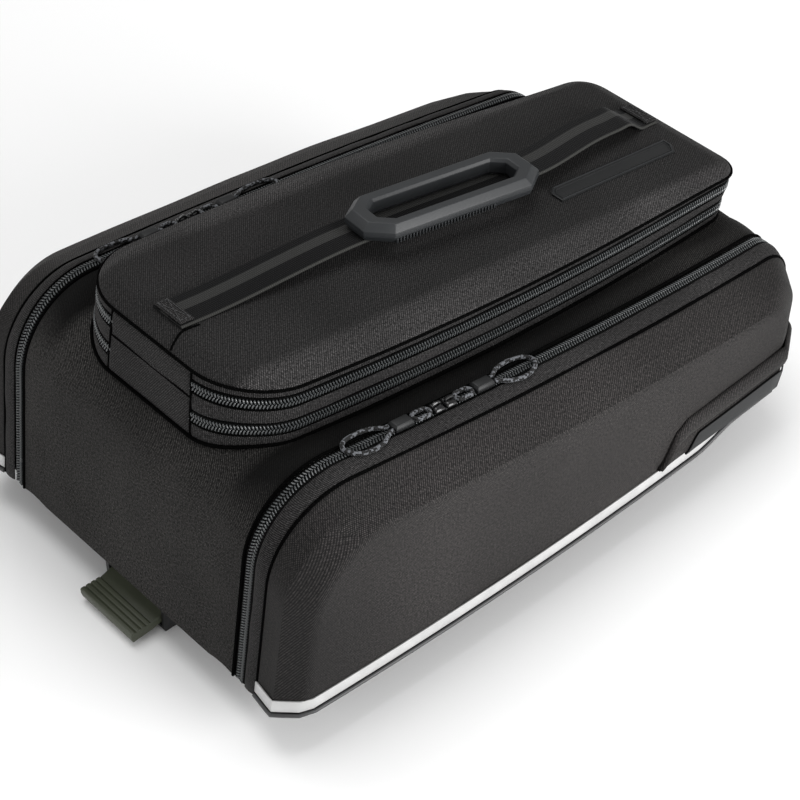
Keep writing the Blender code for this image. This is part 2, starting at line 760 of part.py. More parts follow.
def make_label(looks):
    """The bare rubber patch beside the strap, with slanted ends."""
    half_x = LABEL_LENGTH / 2.0
    half_y = LABEL_WIDTH / 2.0
    slant = LABEL_WIDTH / 3.0
    outline = ((LABEL_X - half_x, LABEL_Y + half_y - slant), (LABEL_X - half_x, LABEL_Y - half_y),
               (LABEL_X + half_x - slant, LABEL_Y - half_y), (LABEL_X + half_x, LABEL_Y),
               (LABEL_X + half_x, LABEL_Y + half_y), (LABEL_X - half_x + slant, LABEL_Y + half_y))
    lid_plate("label_patch", looks["plate"], outline, GAP, GAP + LABEL_THICKNESS)


# Zip pulls

def on_side(side, x, across, rise):
    """A point above the side zip; across is measured outward from the zip's middle."""
    middle = (SIDE_ZIP_INNER + SIDE_ZIP_OUTER) / 2.0
    half = SIDE_ZIP_WIDTH / 2.0
    inward = SHOULDER_FALL / (CORE_HALF_WIDTH - LID_HALF_WIDTH)
    fall = max(-across - half, 0.0) * inward + max(across - half, 0.0) * RIM_FALL / RIM_WIDTH
    return Vector((x, side * (bowed(middle)(x) + across), side_top(x) - fall + rise))


def side_block(name, look, side, start, end, half, low, high):
    """A small block over the side zip, with its upper edges drawn in."""
    draw = half / 3.0
    rings = []
    for inset, rise in ((0.0, low), (0.0, low + (high - low) * 0.6), (draw, high)):
        lead = math.copysign(inset, end - start)
        rings.append([on_side(side, start + lead, inset - half, rise),
                      on_side(side, end - lead, inset - half, rise),
                      on_side(side, end - lead, half - inset, rise),
                      on_side(side, start + lead, half - inset, rise)])
    loft(name, rings, look)


def smooth(points, steps, closed):
    """Points of a smooth curve through route points."""
    count = len(points)
    spans = count if closed else count - 1
    curve = []
    for span in range(spans):
        if closed:
            near = [points[(span + shift) % count] for shift in (-1, 0, 1, 2)]
        else:
            near = [points[min(max(span + shift, 0), count - 1)] for shift in (-1, 0, 1, 2)]
        for step in range(steps):
            t = step / steps
            pull = (near[2] - near[0]) * 0.5
            push = (near[3] - near[1]) * 0.5
            curve.append(near[1] * (2 * t**3 - 3 * t**2 + 1) + pull * (t**3 - 2 * t**2 + t)
                         + near[2] * (3 * t**2 - 2 * t**3) + push * (t**3 - t**2))
    if not closed:
        curve.append(points[-1])
    return curve


def tube(name, look, points, radius, closed=False):
    """A round cord through points, as a curve with a bevel and filled ends."""
    line = bpy.data.curves.new(name, "CURVE")
    line.dimensions = "3D"
    line.bevel_depth = radius
    line.bevel_resolution = 2
    line.use_fill_caps = True
    spline = line.splines.new("POLY")
    spline.points.add(len(points) - 1)
    for target, point in zip(spline.points, points):
        target.co = (*point, 1.0)
    spline.use_cyclic_u = closed
    line.materials.append(look)
    bpy.context.scene.collection.objects.link(bpy.data.objects.new(name, line))


# Routes as shares of a loop's length and half width
LOOP_ROUTE = ((0.0, 0.30), (0.08, 0.31), (0.28, 0.80), (0.58, 1.0), (0.87, 0.74), (1.0, 0.0),
              (0.87, -0.74), (0.58, -1.0), (0.28, -0.80), (0.08, -0.31), (0.0, -0.30))
KNOT_ROUTE = ((0.0, 0.0), (0.18, 1.0), (0.5, 1.0), (0.82, 1.0),
              (1.0, 0.0), (0.82, -1.0), (0.5, -1.0), (0.18, -1.0))


def make_pull(word, looks, side, way):
    """One side zip pull: slider, knotted link, moulded grip and finger loop."""
    x = PULL_X + way * 2.0 * GAP
    side_block("slider_" + word, looks["slider"], side, x, x + way * SLIDER_LENGTH,
               SLIDER_WIDTH / 2.0, GAP, GAP + SLIDER_HEIGHT)
    x += way * (SLIDER_LENGTH + GAP)
    lift = CORD_RADIUS + 3.0 * GAP
    link = [on_side(side, x + way * (CORD_RADIUS + along_share * (KNOT_LENGTH - 2.0 * CORD_RADIUS)),
                    KNOT_HALF_WIDTH * across, lift) for along_share, across in KNOT_ROUTE]
    tube("pull_knot_" + word, looks["cord"], link, CORD_RADIUS, closed=True)
    x += way * (KNOT_LENGTH + GAP)
    side_block("pull_grip_" + word, looks["rubber"], side, x, x + way * PULL_GRIP_LENGTH,
               PULL_GRIP_WIDTH / 2.0, GAP, GAP + PULL_GRIP_HEIGHT)
    x += way * (PULL_GRIP_LENGTH + 2.0 * GAP)
    route = [on_side(side, x + way * share * LOOP_LENGTH, LOOP_HALF_WIDTH * across, lift)
             for share, across in LOOP_ROUTE]
    tube("pull_loop_" + word, looks["cord"], smooth(route, 2, False), CORD_RADIUS)


def block(name, look, low, high):
    """A box between two corners."""
    rings = []
    for x in (low[0], high[0]):
        rings.append([Vector((x, low[1], low[2])), Vector((x, high[1], low[2])),
                      Vector((x, high[1], high[2])), Vector((x, low[1], high[2]))])
    return loft(name, rings, look)


def make_lid_sliders(looks):
    """The two sliders that meet at the rear of the upper lid zip, with hanging tabs."""
    rear = lid_rear(STACK_PLAN[1])
    middle = (stack_height(rear, 1) + stack_height(rear, 2)) / 2.0
    low = middle - SLIDER_WIDTH / 2.0
    inner = rear + GAP
    tab_foot = low - TAB_LENGTH
    for word, side in (("near", NEAR), ("far", FAR)):
        edges = sorted((side * GAP, side * (GAP + SLIDER_LENGTH)))
        block("lid_slider_" + word, looks["slider"], (inner, edges[0], low),
              (inner + SLIDER_HEIGHT, edges[1], low + SLIDER_WIDTH))
        draw = SLIDER_LENGTH / 6.0
        block("lid_tab_" + word, looks["rubber"], (inner, edges[0] + draw, tab_foot),
              (inner + TAB_THICKNESS, edges[1] - draw, low - GAP))


# Rack rail and release lever

def extrude_y(name, look, outline, half_width):
    """A solid with an outline in X and Z, carried across the bag."""
    rings = [[Vector((x, y, z)) for x, z in outline] for y in (-half_width, half_width)]
    return loft(name, rings, look)


def make_rail(looks):
    """The rail that slides into a rack's track, and the plate that holds it to the base."""
    start = BRACKET_FRONT + BRACKET_LENGTH + GAP
    end = start + RAIL_LENGTH
    foot = RAIL_FOOT_WIDTH / 2.0
    neck = RAIL_NECK_WIDTH / 2.0
    outline = ((-foot, 0.0), (foot, 0.0), (foot, RAIL_FOOT_HEIGHT), (neck, RAIL_FOOT_HEIGHT),
               (neck, RAIL_HEIGHT), (-neck, RAIL_HEIGHT), (-neck, RAIL_FOOT_HEIGHT),
               (-foot, RAIL_FOOT_HEIGHT))
    rings = [[Vector((x, y, z)) for y, z in outline] for x in (start, end)]
    loft("rack_rail", rings, looks["rail"])
    low = RAIL_HEIGHT + GAP
    block("mount_plate", looks["rail"], (BRACKET_FRONT, -MOUNT_PLATE_WIDTH / 2.0, low),
          (end, MOUNT_PLATE_WIDTH / 2.0, low + MOUNT_PLATE_THICKNESS))


def round_bar(name, look, radius, half_length, sides=24):
    """A round bar along the lever's axis."""
    outline = []
    for step in range(sides):
        angle = math.tau * step / sides
        outline.append((LEVER_AXIS_X + radius * math.cos(angle),
                        LEVER_AXIS_HEIGHT + radius * math.sin(angle)))
    return extrude_y(name, look, outline, half_length)


def lever_outline():
    """The lever's profile: a ridged pad in front, an arm and the barrel behind."""
    tip = LEVER_AXIS_X - LEVER_REACH
    pad_end = tip + LEVER_PAD_LENGTH
    pitch = LEVER_PAD_LENGTH / LEVER_RIDGES
    groove = pitch / 4.0
    points = [(tip + groove, LEVER_PAD_BOTTOM), (tip, LEVER_PAD_BOTTOM + pitch),
              (tip, LEVER_PAD_TOP - groove)]
    for ridge in range(LEVER_RIDGES):
        x = tip + ridge * pitch
        points.extend(((x + 0.15 * pitch, LEVER_PAD_TOP), (x + 0.75 * pitch, LEVER_PAD_TOP),
                       (x + pitch, LEVER_PAD_TOP - groove)))
    barrel = LEVER_BARREL_RADIUS
    for step in range(1, 12):
        angle = math.radians(150.0 - 25.0 * step)
        points.append((LEVER_AXIS_X + barrel * math.cos(angle),
                       LEVER_AXIS_HEIGHT + barrel * math.sin(angle)))
    points.append((pad_end, LEVER_PAD_BOTTOM + groove))
    return points


def make_lever(looks):
    """The front bracket, its pin and the thumb lever that frees the rail."""
    front = BRACKET_FRONT
    bracket = block("lever_bracket", looks["rail"], (front, -BRACKET_HALF_WIDTH, 0.0),
                    (front + BRACKET_LENGTH, BRACKET_HALF_WIDTH, RAIL_HEIGHT))
    pocket_half = LEVER_HALF_WIDTH + GAP
    pocket = block("bracket_pocket", looks["rail"],
                   (front - GAP, -pocket_half, POCKET_FLOOR),
                   (front + POCKET_DEPTH, pocket_half, POCKET_ROOF))
    cut(bracket, pocket)
    bore_length = BRACKET_HALF_WIDTH + GAP
    cut(bracket, round_bar("pin_bore", looks["rail"], PIN_RADIUS + GAP / 3.0, bore_length))
    pin = round_bar("lever_pin", looks["steel"], PIN_RADIUS, BRACKET_HALF_WIDTH - GAP)
    lever = extrude_y("release_lever", looks["lever"], lever_outline(), LEVER_HALF_WIDTH)
    cut(lever, round_bar("lever_bore", looks["lever"], PIN_RADIUS + GAP / 3.0, bore_length))
    axis = Vector((LEVER_AXIS_X, 0.0, LEVER_AXIS_HEIGHT))
    for piece in (pin, lever):
        piece.data.transform(Matrix.Translation(-axis))
        piece.location = axis


def build():
    """Makes the whole bag."""
    for piece in list(bpy.data.objects):
        bpy.data.objects.remove(piece, do_unlink=True)
    looks = make_materials()
    make_tub(looks)
    make_stack(looks)
    make_lid(looks)
    for word, side in (("near", NEAR), ("far", FAR)):
        make_side(word, looks, side)
        make_pull(word + "_front", looks, side, -1.0)
        make_pull(word + "_rear", looks, side, 1.0)
    make_strap(looks)
    make_grip(looks)
    make_label(looks)
    make_lid_sliders(looks)
    make_rail(looks)
    make_lever(looks)


build()
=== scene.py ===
"""Dresses the bicycle trunk bag's CAD frame with cloth, zips, webbing, rubber and moulded parts.

Units are metres, in the frame's own axes: +X runs to the rear, -Y is the near side, +Z is up.
"""

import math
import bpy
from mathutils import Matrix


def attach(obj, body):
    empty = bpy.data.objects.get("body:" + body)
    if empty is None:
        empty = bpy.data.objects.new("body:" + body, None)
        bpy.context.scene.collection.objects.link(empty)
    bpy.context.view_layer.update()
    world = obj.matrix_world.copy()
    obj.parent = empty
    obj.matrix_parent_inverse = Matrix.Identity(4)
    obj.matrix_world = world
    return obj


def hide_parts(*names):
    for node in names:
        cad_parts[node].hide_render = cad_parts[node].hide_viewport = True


bl_info = {
    "name": "Bicycle trunk bag",
    "version": (1, 0, 0),
    "blender": (4, 5, 0),
    "location": "View3D > Sidebar > Trunk bag",
    "description": "Cloth, zips, strap, grip and rail of a rack-top trunk bag",
    "category": "Add Mesh",
}

import bmesh
import bpy
from bpy.props import FloatProperty, IntProperty, PointerProperty, StringProperty
from mathutils import Matrix, Vector, noise

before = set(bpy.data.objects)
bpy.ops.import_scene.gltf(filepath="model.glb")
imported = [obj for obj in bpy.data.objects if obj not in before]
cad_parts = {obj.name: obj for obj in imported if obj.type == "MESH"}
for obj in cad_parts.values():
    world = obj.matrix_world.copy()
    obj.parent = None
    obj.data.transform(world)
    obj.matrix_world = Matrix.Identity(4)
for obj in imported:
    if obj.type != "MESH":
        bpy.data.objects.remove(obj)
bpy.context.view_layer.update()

NEAR = -1.0
FAR = 1.0
SIDES = (("near", NEAR), ("far", FAR))
GAP = 0.0003
UP = Vector((0.0, 0.0, 1.0))

# Share of a CAD wall's thickness that its cloth keeps, and thicknesses of the other skins
CLOTH_SHARE = 0.8
LID_CLOTH = 0.0018
BAND_CLOTH = 0.002
HINGE_CLOTH = 0.0014
ZIP_TAPE = 0.0006
REFLECTIVE_FILM = 0.0004
PATCH_CLOTH = 0.0008
PLATE_RUBBER = 0.0006

# Slow unevenness of each cloth: size of its waves, and their depth
BODY_WAVES = ((0.035, 0.0022), (0.012, 0.0005))
SHELL_WAVES = (0.05, 0.0009)
RIM_WAVES = (0.014, 0.0004)
BAND_WAVES = (0.02, 0.0004)
HINGE_WAVES = (0.018, 0.0004)
LID_WAVES = (0.045, 0.0005)

# Distance under which points are merged, and radii of the finer welts
WELD = 1e-6
LID_WELT = 0.0008
HINGE_WELT = 0.0007
ZIP_WELT = 0.0006

# Centre body
BAG_LENGTH = 0.372
CORE_HALF_WIDTH = 0.0863
SIDE_BOW = 0.0065
FRONT_HEIGHT = 0.1173
REAR_HEIGHT = 0.0734
FRONT_LEAN = 0.15
REAR_LEAN = 0.33
REAR_FOOT_SETBACK = 0.0165
FRONT_RADIUS = 0.045
REAR_RADIUS = 0.022
FABRIC_WALL = 0.0025
SHOULDER_FALL = 0.005
SHOULDER_MARGIN = 0.003
SEAM_FRONT_RADIUS = 0.030
SEAM_REAR_RADIUS = 0.012

# Lid and the bands under it
LID_FRONT_HEIGHT = 0.1428
LID_REAR_HEIGHT = 0.0922
LID_FRONT_SETBACK = 0.0315
LID_REAR_OVERHANG = 0.0085
LID_REAR_FLARE = 0.0025
LID_HALF_WIDTH = 0.0594
LID_TAPER = 0.0025
LID_BOW = 0.0105
LID_FRONT_RADIUS = 0.034
LID_REAR_RADIUS = 0.015
LID_DRAFT = 0.002
LID_FRONT_DRAFT = 0.0055
LID_REAR_DRAFT = 0.0095
LID_CROWN = 0.006
LID_ROUNDING = 0.011
LID_ZIP_WIDTH = 0.0068
STACK_PLAN = (1.0, 0.86, 0.67, 0.39, 0.20, 0.0)
RIM_SHARE = 0.23
MIDDLE_SHARE = 0.45

# Side pockets
SIDE_ZIP_WIDTH = 0.0074
SIDE_ZIP_RECESS = 0.0004
RIM_WIDTH = 0.008
RIM_FALL = 0.0035
RIM_THICKNESS = 0.003
RIM_SWELL = 0.0009
SHELL_DEPTH = 0.0247
SHELL_WALL = 0.003
SHELL_FRONT_CHAMFER = 0.009
SHELL_REAR_CHAMFER = 0.024
SHELL_DROP = 0.015
FOOT_RISE = 0.0062
FOOT_RISE_START = 0.086
FOOT_RISE_END = 0.118
PIPING_HEIGHT = 0.0022
STRIP_CLEARANCE = 0.0008
STRIP_WIDTH = 0.0068
STRIP_END = 0.108
PATCH_LENGTH = 0.089
PATCH_HEIGHT = 0.0335
PATCH_THICKNESS = 0.0020
PATCH_FOOT = 0.0103
PATCH_FOOT_FALL = 0.0014
PLATE_SETBACK = 0.0186
PLATE_SLANT = 0.011
PLATE_HEIGHT = 0.0205
PLATE_MARGIN = 0.001

# Strap, grip and label patch
STRAP_WIDTH = 0.022
STRAP_THICKNESS = 0.0022
STRAP_LIFT = 0.0078
STRAP_SWAY = 0.005
ANCHOR_LENGTH = 0.008
ANCHOR_THICKNESS = 0.001
GRIP_LENGTH = 0.113
GRIP_X = 0.0215
LABEL_X = 0.128
LABEL_Y = -0.0265
LABEL_LENGTH = 0.090
LABEL_WIDTH = 0.012
LABEL_THICKNESS = 0.0012

# Zip pulls
PULL_X = -0.0605
SLIDER_LENGTH = 0.0062
SLIDER_HEIGHT = 0.0028
KNOT_LENGTH = 0.0123
KNOT_HALF_WIDTH = 0.0025
PULL_GRIP_LENGTH = 0.0115
LOOP_LENGTH = 0.0275
LOOP_HALF_WIDTH = 0.0066
CORD_RADIUS = 0.0011

BASE = 0.0240
FRONT = -BAG_LENGTH / 2.0
REAR = BAG_LENGTH / 2.0
REAR_BASE = REAR - REAR_FOOT_SETBACK
SIDE_ZIP_INNER = CORE_HALF_WIDTH + GAP
SIDE_ZIP_OUTER = SIDE_ZIP_INNER + SIDE_ZIP_WIDTH
RIM_INNER = SIDE_ZIP_OUTER + GAP
RIM_OUTER = RIM_INNER + RIM_WIDTH
SHELL_INNER = RIM_OUTER + GAP

# Steps along the arch (front wall, front corner, top, rear corner, rear wall) and the plan
ARCH_STEPS = (12, 18, 36, 14, 7)
PLAN_STEPS = (16, 40, 8)
ACROSS_STEPS = 22

# Camera that the bag is seen through: azimuth, elevation and roll in degrees
CAMERA_PLACE = Vector((-0.5897, -0.65823, 0.84058))
CAMERA_ANGLES = (-41.8, 42.59, -0.54)
CAMERA_LENS = 100.69
SENSOR_WIDTH = 36.0

# Soft lights: name, place, size in metres and power in watts; all of them face one point
LIGHTS = (("ceiling_light", (0.1, 0.4, 1.9), 1.4, 19.0),
          ("front_light", (-1.7, 0.3, 0.5), 1.0, 7.0),
          ("side_light", (0.4, -1.4, 0.45), 0.9, 25.0))
LIGHT_AIM = Vector((0.0, 0.0, 0.1))
WORLD_STRENGTH = 0.40
FLOOR_SIZE = 6.0


# Settings that a user would change

class BagSizes(bpy.types.PropertyGroup):
    """Sizes of the bag's sewn detail."""

    tooth_pitch: FloatProperty(
        name="Coil pitch", description="Distance from one zip coil turn to the next",
        default=0.0017, min=0.0008, max=0.003, unit="LENGTH", precision=4)
    stitch_length: FloatProperty(
        name="Stitch length", description="Length of one visible stitch",
        default=0.0022, min=0.001, max=0.006, unit="LENGTH", precision=4)
    twill_pitch: FloatProperty(
        name="Twill pitch", description="Distance between the cloth's diagonal ribs",
        default=0.0010, min=0.0004, max=0.004, unit="LENGTH", precision=4)
    cloth_puff: FloatProperty(
        name="Cloth puff", description="How far the shoulders of the cloth rise between seams",
        default=0.0014, min=0.0, max=0.004, unit="LENGTH", precision=4)
    welt_radius: FloatProperty(
        name="Welt radius", description="Radius of the bound cord along the main seams",
        default=0.0009, min=0.0004, max=0.002, unit="LENGTH", precision=4)
    cord_facets: IntProperty(
        name="Cord facets", description="Sides of each cord's round section",
        default=12, min=8, max=24)


class BagColours(bpy.types.PropertyGroup):
    """sRGB hex colours of the bag's finishes."""

    twill: StringProperty(name="Twill", description="Ground of the body cloth",
                          default="#0d0d0d")
    twill_rib: StringProperty(name="Twill rib", description="Raised ribs of the body cloth",
                              default="#413f3f")
    webbing_stripe: StringProperty(name="Strap stripe", description="Pale stripe of the strap",
                                   default="#343433")
    rubber: StringProperty(name="Grip rubber", description="Grip and the lid's zip tabs",
                           default="#232527")
    lever: StringProperty(name="Lever", description="Thumb lever", default="#3a3e2f")
    reflective: StringProperty(name="Reflective strip", description="Strip along the foot",
                               default="#c9c9c8")


# Materials

def linear(colour):
    """Linear RGBA of an sRGB hex colour."""
    digits = colour.lstrip("#")
    channels = [int(digits[start:start + 2], 16) / 255.0 for start in (0, 2, 4)]
    return (*[c / 12.92 if c <= 0.04045 else ((c + 0.055) / 1.055) ** 2.4 for c in channels], 1.0)


def add_node(tree, kind, inputs=None, **settings):
    """Adds a node; each input takes a value, or a (node, output) pair to link from."""
    made = tree.nodes.new(kind)
    for key, value in settings.items():
        setattr(made, key, value)
    for key, value in (inputs or {}).items():
        if isinstance(value, tuple) and isinstance(value[0], bpy.types.Node):
            tree.links.new(value[0].outputs[value[1]], made.inputs[key])
        else:
            made.inputs[key].default_value = value
    return made


def new_surface(name, settings):
    """A material, its node tree and its Principled shader with plain values set."""
    made = bpy.data.materials.new(name)
    made.use_nodes = True
    shader = made.node_tree.nodes["Principled BSDF"]
    for key, value in settings.items():
        shader.inputs[key].default_value = value
    return made, made.node_tree, shader


def wire(tree, shader, links):
    """Links (node, output) pairs to a shader's inputs."""
    for key, (source, output) in links.items():
        tree.links.new(source.outputs[output], shader.inputs[key])


def shade(colour):
    """Linear RGBA of an sRGB hex colour, or of the panel's colour with that name."""
    return linear(getattr(bpy.context.scene.trunk_bag_colours, colour, colour))


# A Wave Texture's bands repeat every tenth of pi of its scaled coordinate
WAVE_PERIOD = math.pi / 10.0


def bands(tree, source, pitch, turn, waver=0.0):
    """Straight ribs at a real pitch in metres, turned on the cloth's own map."""
    turned = add_node(tree, "ShaderNodeMapping", {"Vector": source, "Rotation": (0.0, 0.0, turn)})
    return add_node(tree, "ShaderNodeTexWave",
                    {"Vector": (turned, 0), "Scale": WAVE_PERIOD / pitch, "Distortion": waver,
                     "Detail": 1.0, "Detail Scale": 2.0},
                    wave_type="BANDS", bands_direction="X", wave_profile="SIN")


# Threads that cross the ribs: share of the rib pitch, and turn from the ribs
THREAD_PITCH = 0.62
THREAD_TURN = math.radians(68.0)

# Half widths between which the lid's flat top turns into its slanted sides, where the painted
# highlight starts, and between which the body passes from under the lid to beside it, where the
# painted shadow of the lid starts
FACET_EDGE = (0.050, 0.055)
BESIDE_LID = (0.064, 0.072)


def woven(name, ground, rib, pitch, turn, depth, roughness, sheen, fade=0.25, aside=1.0,
          facet_light=1.0, ends=1.0, specular=0.2):
    """Woven cloth: diagonal ribs broken into threads, with slow changes in shade.

    Aside is the share of its brightness that the cloth keeps on the upward faces beside the lid,
    a painted shadow of the lid that weakens towards the rear; ends is the share kept at the bag's
    front and rear, painted shade. Facet light is how much brighter the lid's slanted sides are
    painted, a painted highlight, while its flat top is painted darker.
    """
    made, tree, shader = new_surface(
        name, {"Sheen Weight": sheen, "Sheen Roughness": 0.45,
               "Specular IOR Level": specular, "Sheen Tint": linear("#b9b6b2")})
    pitch = pitch or bpy.context.scene.trunk_bag_sizes.twill_pitch
    place = (add_node(tree, "ShaderNodeUVMap", uv_map="weave"), 0)
    way = add_node(tree, "ShaderNodeTexCoord")
    ribs = bands(tree, place, pitch, turn, 0.6)
    threads = bands(tree, place, pitch * THREAD_PITCH, turn + THREAD_TURN, 0.4)
    both = add_node(tree, "ShaderNodeMath", {0: (ribs, 1), 1: (threads, 1)}, operation="MULTIPLY")
    fuzz = add_node(tree, "ShaderNodeTexNoise",
                    {"Vector": place, "Scale": 0.55 / pitch, "Detail": 3.0, "Roughness": 0.7})
    factor = add_node(tree, "ShaderNodeMath", {0: (both, 0), 1: (fuzz, 0)}, operation="MULTIPLY")
    lifted = add_node(tree, "ShaderNodeMapRange",
                      {"Value": (factor, 0), "From Min": 0.02, "From Max": 0.46})
    cloth = add_node(tree, "ShaderNodeMix", {0: (lifted, 0), 6: shade(ground), 7: shade(rib)},
                     data_type="RGBA")
    slow = add_node(tree, "ShaderNodeTexNoise", {"Vector": (way, 3), "Scale": 14.0, "Detail": 2.0})
    grain = add_node(tree, "ShaderNodeTexNoise",
                     {"Vector": place, "Scale": 0.9 / pitch, "Detail": 2.0})
    spot = add_node(tree, "ShaderNodeSeparateXYZ", {"Vector": (way, 3)})
    out, along_bag = [add_node(tree, "ShaderNodeMath", {0: (spot, axis)}, operation="ABSOLUTE")
                      for axis in (1, 0)]
    # Sources of shade: node, its lowest and highest value, and the shares of brightness there; the
    # noises give random tone, the rest painted shade, painted shadow and painted highlight
    sources = [(slow, 0.3, 0.7, 1.0 - fade, 1.0 + fade), (grain, 0.3, 0.7, 0.2, 1.8)]
    # Painted shade: the cloth darker towards the bag's front and rear ends
    if ends < 1.0:
        sources.append((along_bag, 0.09, 0.175, 1.0, ends))
    # Painted light: the lid's flat top painted darker and its slanted sides painted lighter
    if facet_light > 1.0:
        sources.append((out, *FACET_EDGE, 0.76, facet_light))
    # Painted shadow of the lid's stack on the upward faces beside it, weaker towards the rear
    if aside < 1.0:
        up = add_node(tree, "ShaderNodeSeparateXYZ", {"Vector": (way, 1)})
        flat = add_node(tree, "ShaderNodeMapRange",
                        {"Value": (up, 2), "From Min": 0.5, "From Max": 0.9,
                         "To Max": 1.0 - aside})
        beside = add_node(tree, "ShaderNodeMapRange",
                          {"Value": (out, 0), "From Min": BESIDE_LID[0], "From Max": BESIDE_LID[1]})
        rear = add_node(tree, "ShaderNodeMapRange",
                        {"Value": (spot, 0), "From Min": 0.02, "From Max": 0.13,
                         "To Min": 1.0, "To Max": 0.35})
        painted_shadow = beside
        for other in (flat, rear):
            painted_shadow = add_node(tree, "ShaderNodeMath", {0: (painted_shadow, 0), 1: (other, 0)},
                            operation="MULTIPLY")
        sources.append((painted_shadow, 0.0, 1.0, 1.0, 0.0))
    final = cloth
    for source, low, high, first, last in sources:
        share = add_node(tree, "ShaderNodeMapRange",
                         {"Value": (source, 0), "From Min": low, "From Max": high,
                          "To Min": first, "To Max": last})
        final = add_node(tree, "ShaderNodeMix", {0: 1.0, 6: (final, 2), 7: (share, 0)},
                         data_type="RGBA", blend_type="MULTIPLY")
    rough = add_node(tree, "ShaderNodeMapRange",
                     {"Value": (fuzz, 0), "To Min": roughness - 0.08, "To Max": roughness + 0.08})
    bump = add_node(tree, "ShaderNodeBump",
                    {"Height": (factor, 0), "Strength": 0.85, "Distance": depth})
    wire(tree, shader, {"Base Color": (final, 2), "Roughness": (rough, 0), "Normal": (bump, 0)})
    return made


def webbing():
    """Woven polyester webbing: cross ribs, a pale stripe and a bright braided near edge."""
    made, tree, shader = new_surface(
        "polyester webbing", {"Sheen Weight": 0.05, "Specular IOR Level": 0.08, "Roughness": 0.8})
    place = (add_node(tree, "ShaderNodeUVMap", uv_map="weave"), 0)
    split = add_node(tree, "ShaderNodeSeparateXYZ", {"Vector": place})
    across = add_node(tree, "ShaderNodeMath", {0: (split, 0), 1: STRAP_WIDTH}, operation="DIVIDE")
    stripe = add_node(tree, "ShaderNodeValToRGB", {"Fac": (across, 0)})
    ramp = stripe.color_ramp
    ramp.interpolation = "CONSTANT"
    # Stripes from the near edge: where each starts across the strap, and its colour
    stops = ((0.0, "#3c3c3a"), (0.07, "#0a0a0b"), (0.50, "webbing_stripe"), (0.78, "#0a0a0b"))
    for position, colour in stops[2:]:
        ramp.elements.new(position)
    for element, (position, colour) in zip(ramp.elements, stops):
        element.position, element.color = position, shade(colour)
    ribs = bands(tree, place, 0.0011, math.radians(90.0), 0.3)
    fine = bands(tree, place, 0.0013, 0.0, 0.3)
    both = add_node(tree, "ShaderNodeMath", {0: (ribs, 1), 1: (fine, 1)}, operation="MULTIPLY")
    thread = add_node(tree, "ShaderNodeMapRange",
                      {"Value": (both, 0), "To Min": 0.62, "To Max": 1.25})
    final = add_node(tree, "ShaderNodeMix", {0: 1.0, 6: (stripe, 0), 7: (thread, 0)},
                     data_type="RGBA", blend_type="MULTIPLY")
    bump = add_node(tree, "ShaderNodeBump",
                    {"Height": (both, 0), "Strength": 0.7, "Distance": 0.00025})
    wire(tree, shader, {"Base Color": (final, 2), "Normal": (bump, 0)})
    return made


def moulded(name, colour, grain, depth, roughness, specular=0.5, metallic=0.0, coat=0.0):
    """A moulded, pressed or enamelled surface: fine grain, small changes in shade and gloss."""
    made, tree, shader = new_surface(
        name, {"Metallic": metallic, "Specular IOR Level": specular, "Coat Weight": coat})
    body = (add_node(tree, "ShaderNodeTexCoord"), 3)
    fine = add_node(tree, "ShaderNodeTexNoise",
                    {"Vector": body, "Scale": 1.0 / grain, "Detail": 4.0, "Roughness": 0.65})
    slow = add_node(tree, "ShaderNodeTexNoise", {"Vector": body, "Scale": 60.0, "Detail": 2.0})
    dark, pale = [(*[share * value for value in shade(colour)[:3]], 1.0) for share in (0.8, 1.2)]
    final = add_node(tree, "ShaderNodeMix", {0: (slow, 0), 6: dark, 7: pale}, data_type="RGBA")
    rough = add_node(tree, "ShaderNodeMapRange",
                     {"Value": (slow, 0), "To Min": roughness - 0.08, "To Max": roughness + 0.08})
    bump = add_node(tree, "ShaderNodeBump",
                    {"Height": (fine, 0), "Strength": 0.5, "Distance": depth})
    wire(tree, shader, {"Base Color": (final, 2), "Roughness": (rough, 0), "Normal": (bump, 0)})
    return made


def flecked_cord():
    """Braided polyester cord: black strands with pale grey ones between them."""
    made, tree, shader = new_surface(
        "braided polyester cord", {"Roughness": 0.7, "Sheen Weight": 0.1,
                                   "Specular IOR Level": 0.3})
    place = (add_node(tree, "ShaderNodeUVMap", uv_map="weave"), 0)
    strands = add_node(tree, "ShaderNodeTexVoronoi",
                       {"Vector": place, "Scale": 1.0 / 0.0012, "Randomness": 0.55},
                       distance="CHEBYCHEV")
    pick = add_node(tree, "ShaderNodeSeparateColor", {"Color": (strands, 1)})
    pale = add_node(tree, "ShaderNodeMath", {0: (pick, 0), 1: 0.56}, operation="GREATER_THAN")
    final = add_node(tree, "ShaderNodeMix",
                     {0: (pale, 0), 6: linear("#0c0c0d"), 7: linear("#606266")}, data_type="RGBA")
    first, second = [bands(tree, place, 0.0015, math.radians(turn)) for turn in (45.0, -45.0)]
    braid = add_node(tree, "ShaderNodeMath", {0: (first, 1), 1: (second, 1)}, operation="MAXIMUM")
    bump = add_node(tree, "ShaderNodeBump",
                    {"Height": (braid, 0), "Strength": 0.8, "Distance": 0.0003})
    wire(tree, shader, {"Base Color": (final, 2), "Normal": (bump, 0)})
    return made


